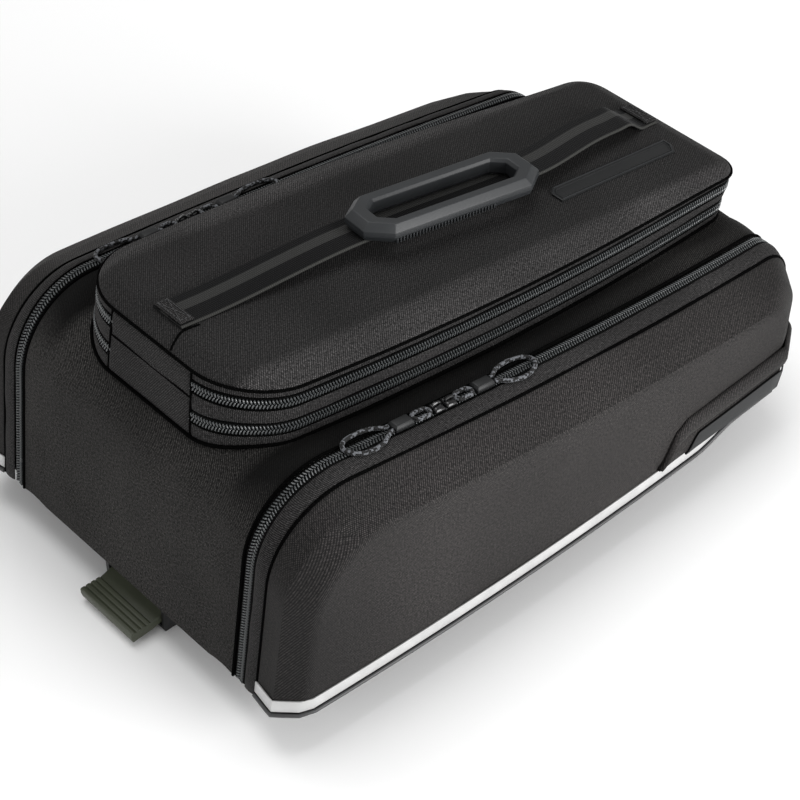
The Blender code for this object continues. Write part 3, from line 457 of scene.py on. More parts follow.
def reflective_tape():
    """Glass-bead reflective tape: a fine pebbled grey film with faint wear."""
    made, tree, shader = new_surface(
        "glass-bead reflective tape", {"Metallic": 0.15, "Specular IOR Level": 0.6})
    place = (add_node(tree, "ShaderNodeUVMap", uv_map="weave"), 0)
    beads = add_node(tree, "ShaderNodeTexVoronoi", {"Vector": place, "Scale": 1.0 / 0.0007})
    slow = add_node(tree, "ShaderNodeTexNoise", {"Vector": place, "Scale": 90.0, "Detail": 4.0})
    final = add_node(tree, "ShaderNodeMix",
                     {0: (slow, 0), 6: linear("#a9a9a9"), 7: shade("reflective")},
                     data_type="RGBA")
    rough = add_node(tree, "ShaderNodeMapRange", {"Value": (slow, 0), "To Min": 0.3, "To Max": 0.5})
    bump = add_node(tree, "ShaderNodeBump",
                    {"Height": (beads, 0), "Strength": 0.3, "Distance": 0.0001})
    wire(tree, shader, {"Base Color": (final, 2), "Roughness": (rough, 0), "Normal": (bump, 0)})
    return made


# Turn of the slanted ribs on the cloth's map
SLANT = math.radians(38.0)

# Woven finishes: real material, ground, rib, rib pitch (none for the panel's), turn, depth of the
# relief, roughness and sheen, then any other settings
WOVEN = {
    # Woven polyester twill: matt black cloth, its slanted ribs a dark warm grey
    "twill": (("polyester twill", "twill", "twill_rib", None, SLANT, 0.00035, 0.80, 0.04), {}),
    # The same twill over a padded board, with painted light: the slanted sides painted paler and
    # the flat top darker
    "lid": (("twill over the padded lid", "twill", "twill_rib", None, SLANT, 0.00035, 0.80, 0.04),
            {"facet_light": 1.75}),
    # Twill of the centre body: matt black, with a painted shadow of the lid on the faces beside it
    "body": (("twill over the centre body", "twill", "#4f4d4b", None, SLANT, 0.00035, 0.82, 0.03),
             {"aside": 0.10, "specular": 0.12}),
    # Twill pressed over moulded foam: ribs flatter and paler; painted shade towards the bag's ends
    "shell": (("moulded twill shell", "#0d0d0d", "#4b4746", None, SLANT, 0.00028, 0.74, 0.06),
              {"fade": 0.18, "ends": 0.5}),
    # Plain weave strips between the zips: finer threads and a darker ground
    "band": (("plain weave strip", "#0a0a0a", "#464444", 0.0010, 0.0, 0.00025, 0.82, 0.03), {}),
    # Herringbone zip tape: very fine and dark
    "tape": (("woven zip tape", "#050505", "#161616", 0.0010, SLANT, 0.00015, 0.85, 0.0),
             {"specular": 0.05}),
    # Folded binding over a cord: smooth tight cloth, near black
    "welt": (("bound seam piping", "#020202", "#0a0a0a", 0.0009, SLANT, 0.00012, 0.9, 0.0),
             {"specular": 0.02}),
}

# Smooth finishes: real material, colour, grain, depth of the relief, roughness, specular,
# metallic and coat
MOULDED = {
    # Nylon coil: smooth dark grey turns with small bright glints
    "coil": ("nylon zip coil", "#404344", 0.0008, 0.00003, 0.24, 0.9),
    # Rubber piping: smooth dark grey, a little glossy
    "piping": ("rubber piping", "#39393a", 0.0009, 0.00006, 0.45, 0.45),
    # Bonded polyester thread: near black and slightly glossy
    "thread": ("bonded polyester thread", "#2e2e2f", 0.0006, 0.00008, 0.5),
    # Moulded thermoplastic rubber: satin dark grey with a fine grain
    "rubber": ("satin moulded rubber", "rubber", 0.0006, 0.00006, 0.47, 0.45),
    # Pressed rubber patch: smooth and black with a soft sheen
    "plate": ("pressed rubber patch", "#141516", 0.0009, 0.00006, 0.50, 0.35),
    # Glass-filled nylon: dark with a faint pebbled skin
    "nylon": ("glass-filled nylon", "#131314", 0.0008, 0.00008, 0.48, 0.45),
    # Moulded nylon coloured olive: an even satin skin
    "lever": ("olive moulded nylon", "lever", 0.0010, 0.00006, 0.50, 0.45),
    # Enamelled zinc casting: glossy black over rounded metal
    "enamel": ("enamelled zinc", "#161617", 0.0020, 0.00003, 0.28, 0.5, 0.3, 0.4),
    # Drawn steel rod: plain grey metal
    "steel": ("drawn steel", "#a9aaab", 0.0010, 0.00003, 0.30, 0.5, 1.0),
}
OTHER_FINISHES = {"webbing": webbing, "cord": flecked_cord, "reflective": reflective_tape}


def finish(kind):
    """One of the bag's finishes, made when it is first asked for."""
    key = "trunk_bag_" + kind
    for made in bpy.data.materials:
        if made.get("finish") == key:
            return made
    if kind in WOVEN:
        values, settings = WOVEN[kind]
        made = woven(*values, **settings)
    elif kind in MOULDED:
        made = moulded(*MOULDED[kind])
    else:
        made = OTHER_FINISHES[kind]()
    made["finish"] = key
    return made


# Curves shared with the CAD source

def fillet(before, corner, after, radius, steps):
    """Points of the arc that rounds a corner, given as 2-D vectors."""
    to_before = (before - corner).normalized()
    to_after = (after - corner).normalized()
    half = to_before.angle(to_after) / 2.0
    centre = corner + (to_before + to_after).normalized() * radius / math.sin(half)
    spoke = corner + to_before * radius / math.tan(half) - centre
    end = corner + to_after * radius / math.tan(half) - centre
    turn = math.copysign(math.pi - 2.0 * half, spoke.x * end.y - spoke.y * end.x)
    return [centre + Matrix.Rotation(turn * step / steps, 2) @ spoke for step in range(steps + 1)]


def between(first, last, steps):
    """Points between two others, without the ends."""
    return [first.lerp(last, step / steps) for step in range(1, steps)]


def ease(share):
    """Smooth step from 0 to 1."""
    share = min(max(share, 0.0), 1.0)
    return share * share * (3.0 - 2.0 * share)


def along(table, share):
    """Value of a table of (share, value) pairs at a share, smoothed between its entries."""
    for (low, first), (high, second) in zip(table, table[1:]):
        if share <= high:
            return first + (second - first) * ease((share - low) / (high - low))
    return table[-1][1]


def bow(x):
    """Share of a long side's outward bow: 1 midway along the bag, 0 at its ends."""
    return 1.0 - (x / REAR) ** 2


def bowed(half_width):
    """Half width that bows outward midway along the bag."""
    return lambda x: half_width + SIDE_BOW * bow(x)


def arch(inset=0.0, front_in=0.0, rear_in=0.0, drop=0.0, floor=0.0,
         front_radius=FRONT_RADIUS, rear_radius=REAR_RADIUS, walls=False):
    """Points (x, z) over the bag, from its base at the front to its base at the rear."""
    slope = (REAR_HEIGHT - FRONT_HEIGHT) / BAG_LENGTH
    front = FRONT + front_in + inset
    rear = REAR_BASE - rear_in - inset
    middle = BASE + (FRONT_HEIGHT + REAR_HEIGHT) / 2.0 - drop - inset
    corners = []
    for foot, lean in ((front, FRONT_LEAN), (rear, REAR_LEAN)):
        corner_x = (foot + lean * (middle - BASE)) / (1.0 - lean * slope)
        corners.append(Vector((corner_x, middle + slope * corner_x)))
    front_corner, rear_corner = corners
    start = Vector((front + FRONT_LEAN * floor, BASE + floor))
    end = Vector((rear + REAR_LEAN * floor, BASE + floor))
    first = fillet(start, front_corner, rear_corner, front_radius - inset, ARCH_STEPS[1])
    last = fillet(front_corner, rear_corner, end, rear_radius - inset, ARCH_STEPS[3])
    run = between(first[-1], last[0], ARCH_STEPS[2])
    if not walls:
        return [start, *first, *run, *last, end]
    return [start, *between(start, first[0], ARCH_STEPS[0]), *first, *run, *last,
            *between(last[-1], end, ARCH_STEPS[4]), end]


def height_on(points, x):
    """Height of a line of (x, z) points above a given x."""
    for first, second in zip(points, points[1:]):
        if first.x <= x <= second.x and second.x > first.x:
            return first.y + (second.y - first.y) * (x - first.x) / (second.x - first.x)
    return points[-2].y if x > points[-2].x else points[1].y


def seam_half_width(x):
    """Half width of the centre body's flat top, just outside the lid's lower seam."""
    return (LID_HALF_WIDTH - LID_TAPER * x / REAR + LID_BOW * bow(x)
            + LID_DRAFT + SHOULDER_MARGIN)


def seam_arch(walls=False):
    """The centre body's arch under the lid, lower and squarer than at the side zips."""
    return arch(drop=SHOULDER_FALL, front_radius=SEAM_FRONT_RADIUS,
                rear_radius=SEAM_REAR_RADIUS, walls=walls)


def side_row(line, side, half):
    """A line of (x, z) points in space, on a half width that follows x."""
    return [Vector((p.x, side * half(p.x), p.y)) for p in line]


SIDE_LINE = arch()
SEAM_LINE = seam_arch()


def side_top(x):
    """Height of the body's edge at the side zips."""
    return height_on(SIDE_LINE, x)


def lid_seam(x):
    """Height of the lid's seam, where the lid panel meets the bands under it."""
    share = (x - FRONT) / BAG_LENGTH
    return BASE + LID_FRONT_HEIGHT + (LID_REAR_HEIGHT - LID_FRONT_HEIGHT) * share


def on_lid(x, y, rise):
    """A point above the lid's flat top."""
    return Vector((x, y, lid_seam(x) + LID_CROWN + rise))


def lid_rear(level):
    """Place of the lid's rear edge at a stack level; it hangs out furthest at its seam."""
    return REAR + LID_REAR_OVERHANG - LID_REAR_DRAFT * (1.0 - level)


def foot_rise(x):
    """Lift of a shell's foot above the base, near the rear corner."""
    return FOOT_RISE * ease((x - FOOT_RISE_START) / (FOOT_RISE_END - FOOT_RISE_START))


def plan_near(level, inset=0.0):
    """Points (x, y) along the lid's near side, from the front edge to the rear edge."""
    grow = LID_DRAFT * (1.0 - level) - inset
    front = FRONT + LID_FRONT_SETBACK - LID_FRONT_DRAFT * (1.0 - level) + inset
    rear = lid_rear(level) - inset
    front_half = LID_HALF_WIDTH + LID_TAPER + grow
    rear_half = LID_HALF_WIDTH - LID_TAPER + grow
    front_corner = Vector((front, -front_half))
    rear_corner = Vector((rear, -rear_half))
    first = fillet(Vector((front, 0.0)), front_corner, rear_corner,
                   LID_FRONT_RADIUS - inset, PLAN_STEPS[0])
    last = fillet(front_corner, rear_corner, Vector((rear, 0.0)),
                  LID_REAR_RADIUS - inset, PLAN_STEPS[2])
    near = [*first, *between(first[-1], last[0], PLAN_STEPS[1]), *last]
    for point in near:
        share = (point.x - front) / (rear - front)
        half = front_half + (rear_half - front_half) * share
        flare = LID_REAR_FLARE * level * max(point.x / REAR, 0.0) ** 6
        point.y += (LID_BOW * bow(point.x) + flare) * point.y / half
    return near


def mirrored(points):
    """The same points on the other side of the bag, in reverse order."""
    return [Vector((point.x, -point.y)) for point in reversed(points)]


def plan(level, inset=0.0):
    """Closed ring of points (x, y) round the lid, from the near front corner."""
    near = plan_near(level, inset)
    far = mirrored(near)
    return [*near, *between(near[-1], far[0], ACROSS_STEPS),
            *far, *between(far[-1], near[0], ACROSS_STEPS)]


def zip_plan(level, outward=0.0):
    """Open line (x, y) along a lid zip, round the rear between the lid's front corners."""
    near = plan_near(level, -outward)
    far = mirrored(near)
    return [*near, *between(near[-1], far[0], ACROSS_STEPS), *far]


def stack_height(x, layer):
    """Height of a layer's top in the stack: 0 is the lid's seam and 5 the lower seam."""
    top = lid_seam(x)
    foot = height_on(SEAM_LINE, min(x, lid_rear(0.0))) + GAP
    spare = top - foot - 2.0 * LID_ZIP_WIDTH
    rim = RIM_SHARE * spare
    middle = MIDDLE_SHARE * spare
    depths = (0.0, rim, rim + LID_ZIP_WIDTH, rim + LID_ZIP_WIDTH + middle,
              rim + middle + 2.0 * LID_ZIP_WIDTH, top - foot)
    return top - depths[layer]


def at_layer(points, layer, rise=0.0):
    """Plan points (x, y) lifted to a layer of the stack under the lid."""
    return [Vector((p.x, p.y, stack_height(p.x, layer) + rise)) for p in points]


def strap_end(share):
    """Place along the strap, which lies between the lid's front and rear roundings."""
    front = FRONT + LID_FRONT_SETBACK + LID_ROUNDING
    rear = lid_rear(1.0) - LID_ROUNDING
    return front + (rear - front) * share


def strap_y(x):
    """Sideways place of the strap's centre line, which the turned grip draws to the near side."""
    sway = ((0.0, 0.4), (0.36, -0.2), (0.69, -1.0), (0.88, 0.4), (1.0, 1.0))
    share = (x - strap_end(0.0)) / (strap_end(1.0) - strap_end(0.0))
    return STRAP_SWAY * along(sway, share)


def on_side(side, x, across, rise):
    """A point above the side zip; across is measured outward from the zip's middle."""
    middle = (SIDE_ZIP_INNER + SIDE_ZIP_OUTER) / 2.0
    half = SIDE_ZIP_WIDTH / 2.0
    inward = SHOULDER_FALL / (CORE_HALF_WIDTH - LID_HALF_WIDTH)
    fall = max(-across - half, 0.0) * inward + max(across - half, 0.0) * RIM_FALL / RIM_WIDTH
    return Vector((x, side * (bowed(middle)(x) + across), side_top(x) - fall + rise))


def puffed(share, power=0.6):
    """Swelling of cloth between two seams: none on them and 1 halfway."""
    return math.sin(math.pi * share) ** power if 0.0 < share < 1.0 else 0.0


def smooth(points, steps):
    """Points of a smooth open curve through route points."""
    count = len(points)
    curve = []
    for span in range(count - 1):
        near = [points[min(max(span + shift, 0), count - 1)] for shift in (-1, 0, 1, 2)]
        for step in range(steps):
            t = step / steps
            pull = (near[2] - near[0]) * 0.5
            push = (near[3] - near[1]) * 0.5
            curve.append(near[1] * (2 * t**3 - 3 * t**2 + 1) + pull * (t**3 - 2 * t**2 + t)
                         + near[2] * (3 * t**2 - 2 * t**3) + push * (t**3 - t**2))
    curve.append(points[-1])
    return curve


# Mesh building

def add_piece(name, shape, kind, replaced=(), body="bag", crease=40.0):
    """Turns a bmesh into a piece that rides on a body and stands for its CAD nodes."""
    mesh = bpy.data.meshes.new(name)
    shape.to_mesh(mesh)
    shape.free()
    mesh.shade_smooth()
    mesh.set_sharp_from_angle(angle=math.radians(crease))
    mesh.materials.append(finish(kind))
    piece = bpy.data.objects.new(name, mesh)
    bpy.context.scene.collection.objects.link(piece)
    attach(piece, body)
    if replaced:
        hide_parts(*replaced)
    return piece


def add_wall(piece, thickness):
    """Gives an open skin a wall on its inner side."""
    wall = piece.modifiers.new("wall", "SOLIDIFY")
    wall.thickness = thickness
    wall.offset = -1.0
    wall.use_even_offset = True
    wall.thickness_clamp = 1.0
    return piece


def skin(rows, closed=False, joined=False, shape=None):
    """Extrudes a line of points through further rows, with a weave map in metres."""
    shape = shape or bmesh.new()
    layer = shape.loops.layers.uv.get("weave") or shape.loops.layers.uv.new("weave")
    if joined:
        rows = [*rows, rows[0]]
    line = [shape.verts.new(point) for point in rows[0]]
    first = line
    pairs = list(zip(line, line[1:]))
    if closed:
        pairs.append((line[-1], line[0]))
    edges = [shape.edges.new(pair) for pair in pairs]
    runs = []
    for row in rows:
        reach = [0.0]
        for here, there in zip(row, [*row[1:], row[0]]):
            reach.append(reach[-1] + (there - here).length)
        runs.append(reach)
    rise = 0.0
    width = len(rows[0])
    for number in range(1, len(rows)):
        row = rows[number]
        step = sum((b - a).length for a, b in zip(rows[number - 1], row)) / width
        made = bmesh.ops.extrude_edge_only(shape, edges=edges)["geom"]
        fresh = {item for item in made if isinstance(item, bmesh.types.BMVert)}
        following = []
        for vert, point in zip(line, row):
            new = next(edge.other_vert(vert) for edge in vert.link_edges
                       if edge.other_vert(vert) in fresh)
            new.co = point
            following.append(new)
        order = {vert: (index, 0) for index, vert in enumerate(line)}
        order.update({vert: (index, 1) for index, vert in enumerate(following)})
        for face in made:
            if not isinstance(face, bmesh.types.BMFace):
                continue
            wraps = {order[loop.vert][0] for loop in face.loops} == {0, width - 1} and width > 2
            for loop in face.loops:
                index, upper = order[loop.vert]
                if wraps and index == 0:
                    index = width
                loop[layer].uv = (runs[number - 1 + upper][index], rise + step * upper)
        edges = [item for item in made if isinstance(item, bmesh.types.BMEdge)
                 and item.verts[0] in fresh and item.verts[1] in fresh]
        line = following
        rise += step
    if joined:
        bmesh.ops.remove_doubles(shape, verts=first + line, dist=WELD)
    return shape, first, line


def close_ends(shape):
    """Fills every open end of a bmesh."""
    bmesh.ops.holes_fill(shape, edges=[edge for edge in shape.edges if edge.is_boundary])


def face_outward(shape):
    """Turns every face of a bmesh outward."""
    bmesh.ops.recalc_face_normals(shape, faces=shape.faces)


def face_away(shape, middle):
    """Turns an open skin's faces away from a point inside it."""
    face_outward(shape)
    score = sum((face.calc_center_median() - middle).dot(face.normal) * face.calc_area()
                for face in shape.faces)
    if score < 0.0:
        bmesh.ops.reverse_faces(shape, faces=shape.faces)


def map_panels(shape):
    """Lays the weave map flat on each panel, by the way that its faces point."""
    layer = shape.loops.layers.uv.get("weave") or shape.loops.layers.uv.new("weave")
    for face in shape.faces:
        normal = [abs(value) for value in face.normal]
        axis = normal.index(max(normal))
        first, second = ((1, 2), (0, 2), (0, 1))[axis]
        for loop in face.loops:
            loop[layer].uv = (loop.vert.co[first], loop.vert.co[second])


def ruffle(shape, size, depth, fade=None):
    """Moves cloth in and out by slow noise; fade gives the share at each point."""
    shape.normal_update()
    for vert in shape.verts:
        share = 1.0 if fade is None else fade(vert.co)
        vert.co += vert.normal * depth * share * noise.noise(vert.co / size)


def rod(points, radius, sides, closed=False):
    """A round cord through points, with its weave map round and along it."""
    count = len(points)
    rows = []
    normal = None
    for index, point in enumerate(points):
        before = points[index - 1] if closed or index else point
        after = points[(index + 1) % count] if closed or index + 1 < count else point
        tangent = (after - before).normalized()
        if normal is None:
            normal = tangent.orthogonal().normalized()
            if abs(tangent.z) < 0.9:
                normal = (UP - tangent * tangent.z).normalized()
        normal = (normal - tangent * normal.dot(tangent)).normalized()
        other = tangent.cross(normal)
        rows.append([point + radius * (math.cos(math.tau * side / sides) * normal
                                       + math.sin(math.tau * side / sides) * other)
                     for side in range(sides)])
    shape, first, last = skin(rows, closed=True, joined=closed)
    if not closed:
        for ring in (first, last):
            bmesh.ops.contextual_create(shape, geom=[*ring, *{
                edge for vert in ring for edge in vert.link_edges
                if edge.is_boundary and edge.other_vert(vert) in ring}])
    return shape


def add_cord(name, points, radius, sides, kind, replaced=(), closed=False):
    """A piece made of one round cord."""
    shape = rod(points, radius, sides, closed)
    face_outward(shape)
    return add_piece(name, shape, kind, replaced)


def add_cloth(name, rows, inside, kind, node, wall, waves=None, closed=False):
    """A walled skin through rows that stands for a CAD node and faces away from a point inside.

    Waves are the size and depth of its slow unevenness.
    """
    shape, _, _ = skin(rows, closed=closed)
    face_away(shape, inside)
    if waves:
        ruffle(shape, *waves)
    return add_wall(add_piece(name, shape, kind, (node,)), wall)


def frames_between(first, second, pitch, start=0.0):
    """Placings at an even pitch along a ribbon between two lines: along, across, outward."""
    middle = [(a + b) / 2.0 for a, b in zip(first, second)]
    reach = [0.0]
    for here, there in zip(middle, middle[1:]):
        reach.append(reach[-1] + (there - here).length)
    placings = []
    span = 0
    distance = start
    while distance < reach[-1]:
        while reach[span + 1] < distance:
            span += 1
        share = (distance - reach[span]) / (reach[span + 1] - reach[span])
        low = first[span].lerp(first[span + 1], share)
        high = second[span].lerp(second[span + 1], share)
        run = (middle[span + 1] - middle[span]).normalized()
        across = (high - low)
        across = (across - run * across.dot(run)).normalized()
        outward = run.cross(across)
        place = Matrix((run, across, outward)).transposed().to_4x4()
        place.translation = (low + high) / 2.0
        placings.append(place)
        distance += pitch
    return placings


def repeat(shape, template, placings):
    """Adds a copy of a small mesh at each placing."""
    rest = [0.0] * (len(template.vertices) * 3)
    template.vertices.foreach_get("co", rest)
    for place in placings:
        template.transform(place)
        shape.from_mesh(template)
        template.vertices.foreach_set("co", rest)
    bpy.data.meshes.remove(template)


def pebble(name, size, place, rounding, turn=0.0):
    """A small bevelled block as a mesh, to be repeated."""
    shape = bmesh.new()
    bmesh.ops.create_cube(shape, size=1.0)
    bmesh.ops.scale(shape, vec=size, verts=shape.verts)
    bmesh.ops.rotate(shape, matrix=Matrix.Rotation(turn, 3, "Z"), verts=shape.verts)
    bmesh.ops.bevel(shape, geom=shape.edges, offset=rounding, offset_type="OFFSET", segments=1,
                    profile=0.5, affect="EDGES", material=-1)
    bmesh.ops.translate(shape, vec=place, verts=shape.verts)
    mesh = bpy.data.meshes.new(name)
    shape.to_mesh(mesh)
    shape.free()
    return mesh


def dressed_copy(node, name, kind, rounding, body="bag", crease=40.0):
    """A CAD node's mesh, merged and with its edges rounded, standing for the node."""
    shape = bmesh.new()
    shape.from_mesh(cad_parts[node].data)
    bmesh.ops.remove_doubles(shape, verts=shape.verts, dist=WELD)
    bmesh.ops.dissolve_limit(shape, angle_limit=math.radians(2.0), verts=shape.verts,
                             edges=shape.edges)
    face_outward(shape)
    sharp = [edge for edge in shape.edges
             if edge.is_manifold and edge.calc_face_angle() > math.radians(20.0)]
    bmesh.ops.bevel(shape, geom=sharp, offset=rounding, offset_type="OFFSET", segments=2,
                    profile=0.5, affect="EDGES", material=-1, clamp_overlap=True)
    map_panels(shape)
    return add_piece(name, shape, kind, (node,), body, crease)


def welt(name, line, closed=False, radius=None):
    """A bound seam cord along a line."""
    return add_cord(name, line, radius or bpy.context.scene.trunk_bag_sizes.welt_radius, 8,
                    "welt", closed=closed)


def stitches(name, lines):
    """Stitches laid end to end along lines on a level surface."""
    length = bpy.context.scene.trunk_bag_sizes.stitch_length
    shape = bmesh.new()
    placings = []
    for line in lines:
        aside = []
        for index, point in enumerate(line):
            ahead = line[min(index + 1, len(line) - 1)] - line[max(index - 1, 0)]
            aside.append(point + UP.cross(ahead).normalized() * 0.001)
        placings += frames_between([2.0 * p - q for p, q in zip(line, aside)], aside,
                                   length, length / 2.0)
    repeat(shape, pebble("stitch", (length * 0.78, 0.0005, 0.0004), (0.0, 0.0, 0.0001), 0.00012),
           placings)
    return add_piece(name, shape, "thread")


# Zips

# Length of one step of a zip's tape, and its section: share of its width, and depth below the
# zip's surface
TAPE_STEP = 0.003
TAPE_SECTION = ((0.0, 0.0012), (0.03, 0.0007), (0.12, 0.0005), (0.3, 0.0006), (0.5, 0.0008),
                (0.7, 0.0006), (0.88, 0.0005), (0.97, 0.0007), (1.0, 0.0012))


def coil_zip(name, lower, upper, replaced):
    """A closed coil zip between two lines: woven tape, two rows of coil and a seam each side."""
    pitch = bpy.context.scene.trunk_bag_sizes.tooth_pitch
    width = (upper[0] - lower[0]).length
    length = sum((b + d - a - c).length / 2.0
                 for a, b, c, d in zip(lower, lower[1:], upper, upper[1:]))
    placings = [*frames_between(lower, upper, TAPE_STEP),
                *frames_between(lower, upper, TAPE_STEP, length - 0.00001)[:1]]
    shape, _, _ = skin([[place @ Vector((0.0, (share - 0.5) * width, -sink))
                         for place in placings] for share, sink in TAPE_SECTION])
    tape = add_piece(name + "_tape", shape, "tape", replaced)
    outward = placings[0].col[2].to_3d()
    if sum(polygon.normal.dot(outward) for polygon in tape.data.polygons[:4]) < 0.0:
        tape.data.flip_normals()
    add_wall(tape, ZIP_TAPE)
    row_width = 0.34 * width
    coil, seam = bmesh.new(), bmesh.new()
    for side in (-1.0, 1.0):
        repeat(coil, pebble("turn", (pitch * 0.48, row_width, 0.0014),
                            (0.0, side * row_width * 0.5, 0.0), pitch * 0.16, side * 0.38),
               frames_between(lower, upper, pitch, pitch * (0.6 + 0.25 * side)))
        repeat(seam, pebble("stitch", (0.0011, 0.0005, 0.0004),
                            (0.0, side * width * 0.44, -0.0004), 0.0001),
               frames_between(lower, upper, 0.0020, 0.001))
    add_piece(name + "_coil", coil, "coil")
    add_piece(name + "_stitching", seam, "thread")


# Operators

class TRUNKBAG_OT_stage(bpy.types.Operator):
    """Adds the floor, the soft lights and the camera."""

    bl_idname = "trunkbag.stage"
    bl_label = "Stage"

    def execute(self, context):
        scene = context.scene
        azimuth, elevation, roll = (math.radians(angle) for angle in CAMERA_ANGLES)
        back = Vector((math.sin(azimuth) * math.cos(elevation),
                       -math.cos(azimuth) * math.cos(elevation), math.sin(elevation)))
        right = (-back).cross(UP).normalized()
        up = right.cross(-back)
        lens = bpy.data.cameras.new("camera")
        lens.sensor_width = SENSOR_WIDTH
        lens.lens = CAMERA_LENS
        camera = bpy.data.objects.new("camera", lens)
        camera.matrix_world = Matrix.LocRotScale(
            CAMERA_PLACE,
            Matrix((right * math.cos(roll) + up * math.sin(roll),
                    up * math.cos(roll) - right * math.sin(roll), back)).transposed(), None)
        scene.collection.objects.link(camera)
        scene.camera = camera

        floor_shape = bmesh.new()
        bmesh.ops.create_grid(floor_shape, x_segments=2, y_segments=2, size=FLOOR_SIZE)
        floor_mesh = bpy.data.meshes.new("floor")
        floor_shape.to_mesh(floor_mesh)
        floor_shape.free()
        paper, _, _ = new_surface("pale paper floor", {"Base Color": linear("#ffffff"),
                                                       "Roughness": 0.9})
        floor_mesh.materials.append(paper)
        floor = bpy.data.objects.new("floor", floor_mesh)
        scene.collection.objects.link(floor)

        for name, place, size, power in LIGHTS:
            lamp = bpy.data.lights.new(name, "AREA")
            lamp.energy = power
            lamp.size = size
            light = bpy.data.objects.new(name, lamp)
            light.location = place
            light.rotation_euler = (light.location - LIGHT_AIM).to_track_quat(
                "Z", "Y").to_euler()
            scene.collection.objects.link(light)
        world = bpy.data.worlds.new("white_room")
        world.use_nodes = True
        glow = world.node_tree.nodes["Background"]
        glow.inputs[0].default_value = linear("#ffffff")
        glow.inputs[1].default_value = WORLD_STRENGTH
        scene.world = world
        scene.view_settings.view_transform = "Standard"
        return {"FINISHED"}


# The four pulls of the side zips: name, side of the bag, and way along the zip
PULLS = tuple((word + "_" + end, side, way)
              for word, side in SIDES for end, way in (("front", -1.0), ("rear", 1.0)))

# Routes of the pull cords as shares of a loop's length and half width
LOOP_ROUTE = ((0.0, 0.30), (0.08, 0.31), (0.28, 0.80), (0.58, 1.0), (0.87, 0.74), (1.0, 0.0),
              (0.87, -0.74), (0.58, -1.0), (0.28, -0.80), (0.08, -0.31), (0.0, -0.30))
KNOT_ROUTE = ((0.0, 0.0), (0.18, 1.0), (0.5, 1.0), (0.82, 1.0),
              (1.0, 0.0), (0.82, -1.0), (0.5, -1.0), (0.18, -1.0))


class TRUNKBAG_OT_cords(bpy.types.Operator):
    """Adds the four zip pulls: cord links, moulded grips and finger loops."""

    bl_idname = "trunkbag.cords"
    bl_label = "Pull cords"

    def execute(self, context):
        sides = context.scene.trunk_bag_sizes.cord_facets
        lift = CORD_RADIUS + 3.0 * GAP
        for tag, side, way in PULLS:
            x = PULL_X + way * (SLIDER_LENGTH + 3.0 * GAP)
            span = KNOT_LENGTH - 2.0 * CORD_RADIUS
            link = [on_side(side, x + way * (CORD_RADIUS + share * span),
                            KNOT_HALF_WIDTH * across, lift) for share, across in KNOT_ROUTE]
            add_cord("pull_link_" + tag, smooth([*link, link[0]], 3)[:-1], CORD_RADIUS, sides,
                     "cord", ("pull_knot_" + tag,), closed=True)
            x += way * (KNOT_LENGTH + GAP)
            dressed_copy("pull_grip_" + tag, "pull_tab_" + tag, "plate", 0.0006)
            x += way * (PULL_GRIP_LENGTH + 2.0 * GAP)
            route = smooth([on_side(side, x + way * share * LOOP_LENGTH,
                                    LOOP_HALF_WIDTH * across, lift)
                            for share, across in LOOP_ROUTE], 4)
            loop = add_cord("finger_loop_" + tag, route, CORD_RADIUS, sides, "cord",
                            ("pull_loop_" + tag,))
        return {"FINISHED"}


# Rows across a band of cloth, closer together at its seams
BAND_SHARES = (0.0, 0.06, 0.18, 0.34, 0.5, 0.66, 0.82, 0.94, 1.0)


class TRUNKBAG_OT_body(bpy.types.Operator):
    """Adds the centre body's cloth, open under the lid."""

    bl_idname = "trunkbag.body"
    bl_label = "Centre body"

    def execute(self, context):
        puff = context.scene.trunk_bag_sizes.cloth_puff
        edge = arch(walls=True)
        seam = seam_arch(walls=True)
        outer = bowed(CORE_HALF_WIDTH)

        def shoulder(side):
            """Rows from the side zip's edge up to the lid's lower seam."""
            low = side_row(edge, side, outer)
            high = side_row(seam, side, seam_half_width)
            return [[start.lerp(end, share) + UP * puff * math.sin(math.pi * share)
                     for start, end in zip(low, high)] for share in BAND_SHARES]

        rows = shoulder(NEAR)
        for step in range(1, 28):
            rows.append(side_row(seam, -1.0 + 2.0 * step / 28, seam_half_width))
        rows += reversed(shoulder(FAR))
        for row in rows:
            row.extend(between(row[-1], row[0], 24))
        shape, _, _ = skin(rows, closed=True)
        close_ends(shape)
        face_outward(shape)

        def slack(point):
            """Cloth lies still near the zips and moves most halfway between them."""
            return ease((CORE_HALF_WIDTH - abs(point.y)) / 0.02) * ease((point.z - BASE) / 0.01)

        for size, depth in BODY_WAVES:
            ruffle(shape, size, depth, slack)
        front = FRONT + LID_FRONT_SETBACK + 0.004
        rear = lid_rear(0.0) - 0.006
        mouth = [face for face in shape.faces if face.normal.z > 0.5
                 and front < face.calc_center_median().x < rear
                 and abs(face.calc_center_median().y) < LID_HALF_WIDTH - 0.006]
        bmesh.ops.delete(shape, geom=mouth, context="FACES")
        tub = add_piece("body_cloth", shape, "body", ("main_tub",))
        add_wall(tub, FABRIC_WALL * CLOTH_SHARE)
        for word, side in SIDES:
            line = [Vector((p.x, side * (outer(p.x) - 0.0006), p.y + 0.0002)) for p in SIDE_LINE]
            welt("body_welt_" + word, line)
        return {"FINISHED"}


# Shell sections from the rim to the flat outer face: shares of the depth, of the front and
# rear chamfers, and of the drop from the rim's top to the crease
SHELL_SECTIONS = ((0.0, 0.0, 0.0, 0.0), (0.58, -0.25, 0.34, 0.5), (1.0, 1.0, 1.0, 1.0))


def shell_section(share):
    """A shell section at a share of the way from the rim to the crease."""
    knee = 0.5
    first, second = (0, 1) if share < knee else (1, 2)
    part = share / knee if share < knee else (share - knee) / (1.0 - knee)
    return [a + (b - a) * part for a, b in zip(SHELL_SECTIONS[first], SHELL_SECTIONS[second])]


